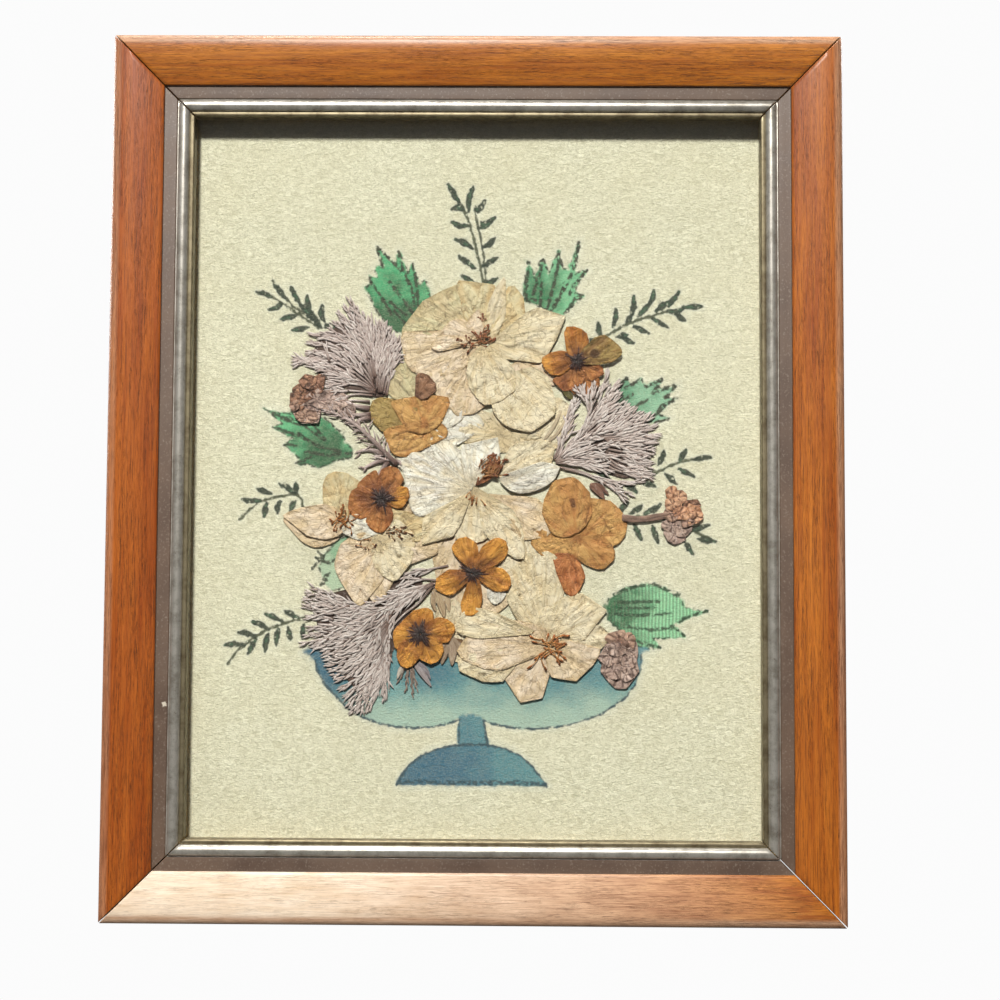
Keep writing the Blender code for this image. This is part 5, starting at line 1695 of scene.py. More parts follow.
                    fan=60,
                    colour=srgb(166, 112, 58), dark=srgb(92, 56, 30)),
               dict(at=(-37.6, -23), spread=(3.0, 2.4), count=8, long=(1.0, 2.2), lift=1.4, toward=200,
                    fan=160,
                    colour=srgb(176, 120, 66), dark=srgb(110, 66, 34))]),
]

ochrePieces = [
    dict(name="ochrePetalsLeft", node="ochre_petals_left", root=(-17, 17), petals=[
        dict(tint="veil", lift=0.5,
             edge=[(-30, 31), (-27, 36), (-24, 39), (-21, 36), (-19, 31), (-19.6, 26), (-25, 25.4),
                   (-29, 27)],
             folds=[("crease", 0.2, [(-29, 34), (-26, 31), (-22, 26.6)])]),
        dict(tint="olive", lift=0.75, rootReach=0.15,
             edge=[(-35.4, 23.6), (-33, 26), (-27, 25.4), (-21, 24), (-20, 17), (-24, 15), (-31, 15.4),
                   (-35.4, 19.4)],
             folds=[("crease", 0.15, [(-33, 16.4), (-29, 15.2), (-25, 15.6)])]),
        dict(tint="ochre", lift=0.9, rootReach=0.25, crumple=0.26, lump=2.0,
             edge=[(-31, 14.4), (-29.6, 10), (-26.6, 6.8), (-22, 7.6), (-19, 9), (-14, 11), (-9.6, 14),
                   (-12, 17.4), (-18, 17), (-26, 16.6)],
             folds=[("crease", 0.25, [(-28, 8), (-23, 8.6), (-19, 10.4)]),
                    ("crease", 0.2, [(-27, 13), (-22, 12), (-17, 13.6)]),
                    ("step", 0.3, [(-29, 12), (-25, 14.6), (-19, 15)])]),
        dict(tint="ochre", lift=1.15, rootReach=0.2,
             edge=[(-28, 24.6), (-24, 25.6), (-16, 27), (-11, 26.8), (-8.8, 24.5), (-11, 20), (-13, 17),
                   (-16, 14.6), (-21, 14.4), (-26, 19)],
             curl=0.25, folds=[("step", 0.25, [(-24, 24), (-25, 20), (-23, 16)]),
                               ("ridge", 0.2, [(-18, 16), (-15, 21), (-11, 25)]),
                               ("crease", 0.15, [(-17, 15.6), (-14.4, 17.4), (-13, 19.6)])])]),
    dict(name="ochreFlowerRight", node="ochre_flower_right", root=(34, -21), petals=[
        dict(tint="ochre", lift=0.7, rootReach=0.2,
             edge=[(36, -8.6), (42, -8), (48, -10.6), (50.6, -16), (50, -20.4), (45, -24), (38, -22),
                   (34, -18)],
             folds=[("ridge", 0.2, [(38, -18), (44, -15), (49, -14)]),
                    ("step", 0.2, [(40, -10), (44, -16), (47, -21)])]),
        dict(tint="ochre", lift=0.8, rootReach=0.2,
             edge=[(19, -20.6), (25, -17), (31, -18), (35, -21), (33.4, -25), (30, -26.6), (22, -26)],
             folds=[("ridge", 0.2, [(32, -22), (26, -22), (21, -23)])]),
        dict(tint="ochre", lift=1.0, rootReach=0.2,
             edge=[(31.6, -24.6), (36, -21), (43, -20.5), (46.2, -24), (46.2, -28), (44, -30.5),
                   (39, -30.6), (33.5, -27.4)],
             folds=[("crease", 0.15, [(34, -27.4), (38.6, -30), (43, -30)]),
                    ("ridge", 0.2, [(35, -24), (44, -26)]),
                    ("step", 0.2, [(36, -22.6), (41, -25.4), (44, -29.4)])]),
        dict(tint="ochre", lift=1.25, rootReach=0.3,
             edge=[(26.4, -3), (31, -0.8), (35.6, -2.6), (38.6, -7.6), (38.8, -13), (35, -18.6),
                   (30, -21), (25, -17), (23, -11), (24, -6)],
             curl=0.35, folds=[("crease", 0.2, [(38.4, -9), (37.4, -14), (33.6, -19)]),
                               ("ridge", 0.3, [(25, -8), (27.4, -4), (32, -2.6), (36, -5.6)]),
                               ("step", 0.2, [(31, -17), (29, -12), (31, -6)])],
             spots=[(32.6, -8.4, 1.0), (32.8, -9.8, 0.9)])]),
]

rustPieces = [
    dict(name="rustPetal", node="rust_petal", root=(31, -26), petals=[
        dict(tint="russet", lift=1.15, rootReach=0.3,
             edge=[(26.6, -27.6), (31, -26), (35, -29), (36.6, -34), (34.2, -39), (31, -39.6),
                   (29.2, -37), (27.8, -32)],
             curl=0.3, folds=[("ridge", 0.2, [(31, -28), (32, -34), (32.6, -38)]),
                              ("step", 0.2, [(33.6, -29), (34.4, -34)])])]),
    dict(name="brownScrap", node="brown_scrap", root=(-20, 27), petals=[
        dict(tint="umber", lift=1.5, rootReach=0.2,
             edge=[(-20.4, 33.6), (-17, 34), (-14.6, 32.2), (-12.8, 30.2), (-14.6, 28), (-17.6, 26.4),
                   (-20.2, 28)],
             curl=0.25, crumple=0.2, lump=2.0,
             folds=[("step", 0.2, [(-13.6, 30.6), (-17, 31.6), (-20, 32)])])]),
]

orangePieces = [
    dict(name="orangeFlowerRight", node="orange_flower_right", root=(34, 39), centre=2.5, petals=[
        dict(tint="amber", lift=1.15,
             edge=[(33, 35), (37, 36), (41.6, 34), (41, 30.6), (37.6, 27.6), (34, 28), (31, 31)],
             folds=[("ridge", 0.2, [(35, 35), (37, 30)])]),
        dict(tint="amber", lift=1.3,
             edge=[(25.4, 32), (27.6, 30.2), (30, 28.8), (34, 30.2), (36, 34), (35, 37.4), (31, 36.8)],
             folds=[("ridge", 0.2, [(33, 36), (28, 32)])]),
        dict(tint="amber", lift=1.45,
             edge=[(34, 38.6), (38, 38.4), (42.4, 37), (43, 35), (41, 33.2), (38, 32.4), (34.6, 34.6)],
             folds=[("crease", 0.2, [(35, 38), (39, 36.6), (42, 35.6)])]),
        dict(tint="olive", lift=1.75,
             edge=[(34, 40), (36, 42.6), (38, 44.8), (41, 46.6), (45, 47), (49, 42.5), (46, 39.4),
                   (42, 38.4), (37, 37.8)],
             folds=[("crease", 0.25, [(36, 38.8), (41, 38.6), (45.4, 40)]),
                    ("step", 0.25, [(36, 40), (41, 42), (46, 45)])], spots=[(40, 41.4, 1.6)]),
        dict(tint="orange", lift=1.85,
             edge=[(31, 50.2), (34.5, 49.8), (37.7, 45.4), (36, 41.6), (34, 39), (31.4, 42), (30.3, 47)],
             folds=[("ridge", 0.2, [(34, 41), (33, 48)]), ("crease", 0.12, [(35, 42), (36, 46)])]),
        dict(tint="orange", lift=1.8,
             edge=[(24, 40.8), (22.4, 38), (24, 35.4), (27, 34.3), (31, 36.6), (34, 39), (30, 41.4)],
             folds=[("ridge", 0.2, [(32, 39), (25, 38)]), ("crease", 0.12, [(31, 37.6), (26, 36)])])]),
    dict(name="darkOrangeFlowerLeft", node="dark_orange_flower_left", root=(-31.4, -8), centre=3.0,
         petals=[
        dict(tint="amber", lift=1.5,
             edge=[(-40, -4.6), (-42, -8), (-42, -11.5), (-40, -14.2), (-37, -14), (-33, -11),
                   (-30.6, -8), (-35, -5)], folds=[("ridge", 0.2, [(-33, -9), (-40, -11)])]),
        dict(tint="amber", lift=1.6,
             edge=[(-38.4, -1.6), (-34, 1.6), (-32.6, -2), (-31, -6.6), (-32, -8.6), (-38, -6),
                   (-40, -4)], folds=[("ridge", 0.2, [(-33, -7), (-37, -2)])]),
        dict(tint="amber", lift=1.7,
             edge=[(-33.4, -9), (-36, -16), (-33, -19.6), (-30, -18), (-28, -14), (-29, -9.4),
                   (-31, -7.4)], folds=[("ridge", 0.2, [(-31.6, -10), (-32.6, -18)])]),
        dict(tint="amber", lift=1.75,
             edge=[(-32.4, -0.4), (-30, 2.2), (-26, 1.6), (-24.8, -1), (-26.5, -4.5), (-30, -8),
                   (-33, -5)], folds=[("ridge", 0.2, [(-31, -7), (-28, 0)]),
                                      ("crease", 0.2, [(-30, -5), (-26.6, -1)])]),
        dict(tint="orange", lift=1.85,
             edge=[(-31, -7.4), (-29, -10), (-25, -10.8), (-22.2, -6.7), (-24, -3.8), (-27.4, -5)],
             folds=[("ridge", 0.2, [(-30, -8), (-24, -7)])])]),
    dict(name="orangeFlowerCentre", node="orange_flower_centre", root=(-1, -33), centre=2.9, petals=[
        dict(tint="orange", lift=1.7,
             edge=[(-1.4, -33), (-1.6, -38), (-2, -40), (-4.6, -42.6), (-4.4, -45.4), (-2, -47),
                   (1.4, -44.4), (2, -40), (1.6, -36)], folds=[("ridge", 0.2, [(-1, -35), (-1.4, -45)])]),
        dict(tint="orange", lift=1.75,
             edge=[(0, -33), (3, -31.4), (9, -32), (12.2, -35), (11.2, -38), (7, -38.6), (3, -36)],
             folds=[("ridge", 0.2, [(1, -33.6), (10, -35.6)]), ("crease", 0.14, [(2, -35), (8, -37.6)])]),
        dict(tint="orange", lift=1.8,
             edge=[(-1, -34), (-4, -36.4), (-8, -39.8), (-12, -38.7), (-13.2, -36), (-10, -33),
                   (-6, -31.8), (-2, -32)],
             folds=[("ridge", 0.2, [(-2, -33.6), (-11, -36.6)]),
                    ("crease", 0.14, [(-2, -35), (-8, -38)])]),
        dict(tint="orange", lift=1.85,
             edge=[(-1, -32), (-3, -30), (-6.6, -27), (-7.2, -24), (-5, -21.5), (-2.5, -20.8), (0.2, -24),
                   (1.2, -28), (0.6, -31)], folds=[("ridge", 0.2, [(-1.4, -32), (-4, -23)])]),
        dict(tint="orange", lift=1.95,
             edge=[(-0.6, -32), (1, -28), (3, -24), (6.5, -21.4), (9.5, -21.8), (11.2, -25), (9, -28),
                   (5, -31), (1.4, -33)],
             folds=[("ridge", 0.2, [(0, -31), (8, -24)]), ("crease", 0.12, [(1.6, -31), (8, -27)])])]),
    dict(name="orangeFlowerLow", node="orange_flower_low", root=(-18.2, -53.4), centre=3.3, star=0.05,
         petals=[
        dict(tint="orange", lift=1.6,
             edge=[(-25, -50.6), (-22, -47.8), (-19.5, -45.8), (-16, -45.3), (-13.8, -47.6), (-15, -51),
                   (-18, -53), (-22, -52.6)], crumple=0.2, lump=2.4,
             folds=[("ridge", 0.2, [(-18, -52), (-18, -47)])]),
        dict(tint="orange", lift=1.7,
             edge=[(-27, -53), (-26, -57.4), (-23, -58.4), (-18.6, -55), (-18.6, -52), (-23, -50.6),
                   (-26, -50.8)], crumple=0.2, lump=2.4,
             folds=[("ridge", 0.2, [(-19, -53.6), (-25.6, -54)])]),
        dict(tint="orange", lift=1.8,
             edge=[(-26.2, -59.4), (-24.6, -63), (-22, -64.7), (-19.5, -62.4), (-17.4, -58),
                   (-18.6, -53.6), (-24, -56.4)], crumple=0.18, lump=2.6,
             folds=[("ridge", 0.2, [(-19, -55), (-23, -62)])]),
        dict(tint="orange", lift=1.75,
             edge=[(-12, -55.6), (-11, -59), (-13, -62.2), (-16, -62.4), (-18.8, -60), (-18.6, -53.6)],
             crumple=0.2, lump=2.4, folds=[("ridge", 0.2, [(-17, -55), (-14, -61)])]),
        dict(tint="orange", lift=1.85,
             edge=[(-15, -49), (-11, -48.6), (-8, -49.8), (-7.6, -53), (-9.5, -55.6), (-13, -55.8),
                   (-18, -53.6), (-17.6, -51)], crumple=0.2, lump=2.4,
             folds=[("ridge", 0.2, [(-17, -53), (-9, -52)])])]),
]


def darkEye(root, size, star, seed):
    # the dark star at an orange flower's middle: short black-brown rays over a ragged disc
    rng = np.random.default_rng(seed)
    paths, radii, colours = [], [], []
    t = np.linspace(0, 1, 7)
    for i in range(int(34 + 15 * size)):
        a = rng.uniform(0, 2 * math.pi)
        long = size * rng.uniform(0.45, 1.4) * (1.0 + star * math.cos(5 * a))
        bend = rng.uniform(-0.4, 0.4)
        turn = a + bend * t
        flat = np.array(root) + np.cumsum(np.stack([np.cos(turn), np.sin(turn)], 1) * long / 6, 0)
        height = 2.08 + 0.12 * rng.uniform(-1, 1) - 0.15 * t
        paths.append(np.stack([flat[:, 0], height, flat[:, 1]], 1))
        radii.append(np.array([0.42, 0.42, 0.40, 0.36, 0.30, 0.22, 0.10]))
        tone = np.array(srgb(34, 20, 18)) * rng.uniform(0.6, 1.6)
        tip = np.array(srgb(84, 42, 26)) * rng.uniform(0.7, 1.2)
        colours.append(np.stack([tone * (1 - s) + tip * s for s in t ** 2]))
    return strands(paths, radii, colours, flat=0.45, sides=6)


def makeFlower(flower, slotName, finish, seed):
    layers = [growPetal(petal, flower["root"], seed + 13 * i) for i, petal in enumerate(flower["petals"])]
    for i, tuft in enumerate(flower.get("tufts", ())):
        layers.append(stamens(tuft, seed + 500 + i))
    if "centre" in flower:
        layers.append(darkEye(flower["root"], flower["centre"], flower.get("star", 0.3), seed + 900))
    return makePressed(flower["name"], layers, finish, slotName, flower["node"])


for slotName, pieces, finish in (("cream_petal", creamPieces, palePetal),
                                 ("ochre_petal", ochrePieces, palePetal),
                                 ("rust_petal", rustPieces, brightPetal),
                                 ("orange_petal", orangePieces, brightPetal)):
    for order, flower in enumerate(pieces):
        made = makeFlower(flower, slotName, finish, 100 + 37 * order + len(slotName))
        print(made.name, "ready,", len(made.data.polygons), "faces")

# Each rib: height at its foot and at its tip, how far along its leaflets begin, then its path.
ferns = [
    dict(name="fernUpperLeft", node="fern_upper_left", seed=7, fan=(0, 12), every=1.5, long=(5.0, 9.5),
         spread=(9, 24), width=0.41,
         low=srgb(198, 176, 170), high=srgb(250, 238, 234), root=srgb(112, 84, 74),
         shadeSheet=[[(-33, 27), (-40, 28), (-47, 31), (-54, 35.6), (-57, 38.6), (-51, 42), (-53, 46.4),
               (-46, 49.6), (-42, 53), (-36, 50.6), (-31, 48.6), (-27, 45), (-28.4, 38), (-29.4, 30)]],
         ribs=[(0.7, 0.5, 0.2, [(-34, 27.6), (-40, 31), (-48, 34), (-55, 37), (-62, 40.6)]),
               (0.7, 0.5, 0.2, [(-34, 28.4), (-41, 33), (-49, 37), (-56, 39), (-61.6, 37)]),
               (0.8, 0.5, 0.2, [(-34, 29), (-40, 36), (-46, 40), (-52, 41.6), (-57, 42)]),
               (0.8, 0.5, 0.25, [(-34.6, 31), (-38, 38), (-43, 43), (-49, 46), (-57, 48)]),
               (0.8, 0.5, 0.25, [(-34.6, 32), (-38, 40), (-43, 45.6), (-50, 49)]),
               (0.9, 0.5, 0.25, [(-34.6, 33), (-37, 42), (-41, 48.6), (-47, 55)]),
               (1.0, 0.6, 0.25, [(-34.4, 33), (-36, 43), (-39, 50), (-43.2, 60)]),
               (1.0, 0.6, 0.25, [(-34, 33), (-35, 42), (-36.6, 49), (-38.6, 55)]),
               (1.0, 0.6, 0.2, [(-33.6, 29), (-33.4, 38), (-33.6, 46), (-34, 52.6)]),
               (1.0, 0.6, 0.2, [(-33, 28), (-32, 37), (-31, 45), (-31, 51.6)]),
               (0.9, 0.6, 0.2, [(-32, 28), (-30.4, 36), (-28.6, 43), (-27.8, 48)]),
               (0.8, 0.5, 0.2, [(-30.4, 27), (-29, 34), (-27, 40), (-25.4, 45.6)]),
               (0.8, 0.5, 0.7, [(-29.4, 38), (-27.6, 40.6), (-24.4, 40.4)]),
               (0.8, 0.5, 0.6, [(-28.8, 35), (-27.6, 38), (-25, 38.6)]),
               (0.7, 0.5, 0.5, [(-35, 29.4), (-42, 31), (-50.6, 31)]),
               (0.7, 0.5, 0.5, [(-35, 28), (-42, 28.6), (-51, 29.4)]),
               (0.7, 0.5, 0.6, [(-35, 27), (-41, 27.4), (-47.6, 26)]),
               (0.7, 0.5, 0.5, [(-36, 25), (-42, 25.4), (-47, 25)]),
               (0.9, 0.9, 0.95, [(-49.8, 38.4), (-51, 42), (-52.6, 45.6)]),
               (0.9, 0.9, 0.95, [(-49.8, 38.4), (-50.6, 42), (-51, 46)])]),
    dict(name="fernStalkLeft", node="fern_stalk_left", seed=9, fan=(0, 0), every=1.2, long=(3.5, 8.0),
         spread=(34, 66), width=0.34,
         low=srgb(150, 128, 120), high=srgb(222, 204, 200), root=srgb(104, 78, 70), ribWidth=1.05,
         shadeSheet=[],
         ribs=[(1.15, 0.9, 0.06,
                [(-26.6, 3.6), (-31, 8), (-35.4, 12.4), (-42, 18), (-49.6, 21.6), (-54.4, 22.4)]),
               (0.7, 0.5, 0.8, [(-30, 5.4), (-33.6, 4.4), (-38.6, 2)]),
               (0.7, 0.5, 0.8, [(-29.6, 4.6), (-31.6, 2), (-33.6, -0.6)]),
               (0.7, 0.5, 0.8, [(-28.4, 5), (-26, 4.4), (-23.8, 2.4)]),
               (0.7, 0.5, 0.8, [(-31, 7), (-36, 8.6), (-41, 7.6)]),
               (0.8, 0.5, 0.6, [(-36, 22.6), (-41, 23.6), (-46, 26)]),
               (0.8, 0.5, 0.6, [(-35.6, 20.6), (-40, 20.4), (-43.6, 21)]),
               (0.8, 0.5, 0.6, [(-35.6, 19.6), (-39.6, 18.6), (-41, 16.6)])]),
    dict(name="fernRight", node="fern_right", seed=5, fan=(4, 15), every=1.6, long=(4.8, 9.0),
         spread=(9, 26), width=0.43,
         low=srgb(204, 184, 178), high=srgb(250, 240, 236), root=srgb(150, 126, 116),
         shadeSheet=[[(30, 6), (35, 12), (38, 18), (40, 23), (43, 26), (47, 24), (52, 20.6), (57, 16), (58, 10),
               (57, 4), (54, 0.4), (47, 0), (44.6, 5), (38, 8), (31, 5.4)]],
         ribs=[(0.8, 1.7, 0.15,
                [(27, 5), (31, 8.6), (35, 13), (37.4, 18), (38.2, 22), (36, 26.6), (33.4, 30.2)]),
               (1.0, 1.7, 0.3, [(38, 21), (37.8, 25.6), (36, 29), (35.4, 30.8)]),
               (1.0, 1.5, 0.3, [(38.2, 21.6), (39, 26), (40, 31.4)]),
               (0.9, 0.7, 0.3, [(38.2, 22), (41, 27), (43.6, 31.6), (44.4, 35.8)]),
               (0.8, 0.6, 0.3, [(38.6, 20), (42, 25), (46, 29.6), (48, 32)]),
               (0.8, 0.6, 0.25, [(36, 15), (40, 19.6), (44.6, 25), (48, 31)]),
               (0.8, 0.6, 0.25, [(35.6, 13.4), (40, 17.4), (45, 22), (50, 24.6)]),
               (0.8, 0.6, 0.25, [(36, 12.6), (42, 15.6), (47.6, 19), (53, 23)]),
               (0.8, 0.6, 0.2, [(37, 12), (43, 14), (49, 17), (56, 21.4)]),
               (0.8, 0.6, 0.2, [(43, 12.8), (49, 14), (55, 17), (60, 20.6)]),
               (0.8, 0.6, 0.2, [(44, 12), (50, 12.2), (56, 13.4), (61.6, 14)]),
               (0.8, 0.6, 0.2, [(44.4, 10.4), (50, 9.8), (55, 9), (60, 9.4)]),
               (0.8, 0.6, 0.2, [(44.8, 8), (50, 6.6), (55, 5.4), (59, 5.2)]),
               (0.8, 0.6, 0.2, [(45, 6), (48.6, 3.4), (54, 2), (60, 1.2)]),
               (0.8, 0.6, 0.3, [(45, 3), (50, 1.2), (55, 0.4), (59.4, -0.8)]),
               (0.8, 0.6, 0.4, [(28, 3), (36, 1.4), (43, -1.2), (50, -2.2), (56.6, -1.6)]),
               (0.8, 0.6, 0.6, [(30, 2.4), (37, 0.6), (43, -2.2), (48, -4.6), (53, -6.2)]),
               (0.7, 0.6, 0.5, [(43, -2), (47, -5), (50.6, -8)]),
               (1.0, 0.9, 0.5, [(28, 4.6), (33, 5), (39, 4.4), (45, 3.6)]),
               (0.9, 0.7, 0.25, [(28, 5), (34, 8), (39, 8.4), (44, 6)]),
               (1.0, 0.9, 0.3, [(28, 6), (34, 10.4), (39, 12.4), (43, 12.6)]),
               (0.7, 0.6, 0.2, [(27, 6), (29.4, 11), (31, 16), (32.4, 21), (33.4, 26)]),
               (0.7, 0.6, 0.2, [(26.4, 5.6), (28, 10), (30, 16), (32, 22), (35, 26)]),
               (1.1, 0.9, 0.1, [(27, 5), (31, 10), (36, 15), (40, 19.4)]),
               (1.1, 0.9, 0.1, [(27, 5), (33, 9.4), (39, 13.4), (45, 16)]),
               (1.1, 0.9, 0.1, [(27, 4.8), (34, 7.8), (41, 10), (48, 11)]),
               (1.1, 0.9, 0.1, [(27, 4.6), (34, 6.2), (41, 7), (48, 6.4)]),
               (1.1, 0.9, 0.1, [(27, 4.4), (34, 4), (41, 2.6), (47, 1.6)])],
         blades=[((23, 12), (26.4, 17), (29.4, 23.4), 0.6, srgb(214, 196, 168)),
                 ((24, 11), (28, 15), (31, 20.6), 0.5, srgb(206, 186, 158)),
                 ((29.4, 29.4), (31.4, 27.4), (33.6, 25.4), 1.2, srgb(104, 98, 56)),
                 ((38.6, -2.6), (41.4, -5), (43.6, -8), 1.3, srgb(140, 104, 88)),
                 ((39.6, -2.4), (42.6, -4), (45, -6.4), 0.9, srgb(120, 86, 72))]),
    dict(name="fernLowerLeft", node="fern_lower_left", seed=3, fan=(3, 15), every=1.6, long=(4.8, 9.0),
         spread=(9, 26), width=0.42,
         low=srgb(204, 186, 180), high=srgb(246, 236, 232), root=srgb(120, 96, 86),
         shadeSheet=[[(-18, -38), (-23, -42), (-28, -49), (-30, -58), (-31, -66), (-35, -72), (-40, -71),
               (-45, -65), (-48, -59), (-52, -53), (-53, -45), (-51, -40.6), (-44, -41), (-34, -42.6),
               (-26, -38), (-20, -33)]],
         ribs=[(0.6, 0.8, 0.3, [(-9, -30.4), (-15, -31.6), (-21, -33), (-25, -36)]),
               (0.6, 0.8, 0.3, [(-12, -35.6), (-18, -35), (-24, -37), (-28, -40)]),
               (0.7, 0.7, 0.4, [(-13, -36.4), (-20, -37.6), (-26, -39.6), (-30, -44)]),
               (0.8, 0.6, 0.45,
                [(-13.4, -37.4), (-22, -42), (-30, -44.6), (-39, -43.8), (-47, -41), (-56, -37.4)]),
               (0.8, 0.6, 0.35, [(-22, -42), (-31, -45.2), (-40, -46), (-48, -43.6), (-57, -41.6)]),
               (0.8, 0.6, 0.35, [(-26, -44.6), (-32, -46.6), (-40, -47.8), (-48, -46.6), (-57.6, -44.4)]),
               (0.8, 0.6, 0.3, [(-27, -45.6), (-32, -48), (-40, -50.2), (-48, -51), (-56, -51.4)]),
               (0.8, 0.6, 0.3, [(-28, -47), (-33, -50), (-40, -53), (-48, -54.8), (-58, -57)]),
               (0.8, 0.6, 0.3, [(-28.4, -48), (-33, -52), (-39, -56), (-45, -58), (-51, -59.4)]),
               (0.8, 0.6, 0.3, [(-28.6, -49), (-33, -54), (-38, -59), (-44, -61.6), (-50, -62)]),
               (0.8, 0.6, 0.25, [(-29, -50), (-32, -55.6), (-36.6, -61), (-42, -64), (-48.6, -65.6)]),
               (0.8, 0.6, 0.25, [(-29, -51), (-31, -57), (-34.6, -62), (-39, -66), (-46.6, -69)]),
               (0.8, 0.6, 0.25, [(-28.8, -53), (-30.4, -60), (-33.6, -66), (-38, -70), (-43.6, -75)]),
               (0.8, 0.6, 0.25, [(-28.6, -55), (-30, -62), (-33, -68), (-37, -74), (-41, -80)]),
               (0.8, 0.6, 0.25, [(-28.6, -57), (-29.6, -64), (-32, -70), (-34, -75), (-36, -79)]),
               (0.7, 0.6, 0.3, [(-28, -60), (-29, -66), (-30, -71), (-30.4, -75.6)]),
               (0.9, 0.8, 0.7,
                [(-14, -37), (-19, -43), (-24, -47), (-28, -52), (-29, -60), (-29.6, -67)]),
               (1.0, 1.0, 0.98, [(-42, -44), (-50, -46.4), (-57.6, -49.2)]),
               (0.8, 0.6, 0.98, [(-49, -55), (-52, -57), (-55.4, -60.4)]),
               (1.1, 0.9, 0.08, [(-14, -36.8), (-20, -40.4), (-25.6, -45.4), (-28.6, -52), (-29.6, -59)]),
               (1.1, 0.9, 0.08, [(-13.6, -36.4), (-20, -39), (-26, -43), (-31, -49), (-33.4, -56)]),
               (1.1, 0.9, 0.08, [(-14, -36.6), (-21, -40), (-28, -43.6), (-34, -48), (-39, -53)]),
               (1.1, 0.9, 0.08, [(-14, -36.2), (-21, -38.6), (-28, -41), (-35, -43.4), (-42, -46)])],
         blades=[((-13, -37.6), (-11.6, -42), (-10.2, -48), 1.5, srgb(196, 172, 140)),
                 ((-13.4, -38), (-14, -43), (-13, -46), 1.0, srgb(182, 158, 128)),
                 ((-12.6, -37.6), (-9.6, -41.6), (-8.6, -46), 1.2, srgb(206, 182, 150)),
                 ((-8.6, -54.6), (-9.8, -58), (-11, -63.6), 1.5, srgb(172, 150, 128)),
                 ((-8.2, -54.6), (-7.4, -59), (-7.6, -64), 1.5, srgb(186, 164, 142)),
                 ((-7.8, -54.6), (-5.2, -58), (-4.2, -63), 1.3, srgb(164, 142, 120)),
                 ((-7.4, -54.8), (-4, -56), (-1, -58.4), 0.6, srgb(120, 92, 66))]),
    dict(name="fernWispLow", node="fern_wisp_low", seed=2, fan=(0, 0), every=1.6, long=(2.4, 4.5),
         spread=(12, 26), width=0.30,
         low=srgb(120, 100, 92), high=srgb(188, 172, 160), root=srgb(110, 88, 76), shadeSheet=[],
         ribs=[(0.6, 0.5, 0.3, [(-22.4, -61), (-23.6, -65), (-25.4, -69.4)]),
               (0.6, 0.5, 0.3, [(-22.2, -61), (-22.6, -67), (-23, -73)]),
               (0.7, 0.5, 0.3, [(-22, -61), (-21.2, -67), (-20.6, -75)]),
               (0.7, 0.5, 0.3, [(-21.8, -61), (-20.6, -66), (-19, -73)])],
         blades=[((-20.6, -62.4), (-17.6, -66.4), (-14.4, -71), 1.0, srgb(176, 166, 168)),
                 ((-20, -62.4), (-16.6, -65), (-14.6, -68.6), 0.8, srgb(150, 142, 148)),
                 ((-23.4, -63), (-25, -66), (-26, -68.6), 0.8, srgb(206, 196, 184))]),
]


def between(ribs):
    # one more rib halfway between each two neighbours of a fan
    found = []
    for a, b in zip(ribs, ribs[1:]):
        first, second = (curveThrough(rib[3], 1.0) for rib in (a, b))
        t = np.linspace(0, 1, 6)
        halfway = []
        for path in (first, second):
            run = np.linspace(0, 1, len(path))
            halfway.append(np.stack([np.interp(t, run, path[:, 0]), np.interp(t, run, path[:, 1])], 1))
        found.append((a[0] - 0.12, a[1] - 0.05, 0.3, (halfway[0] + halfway[1]) / 2))
    return found


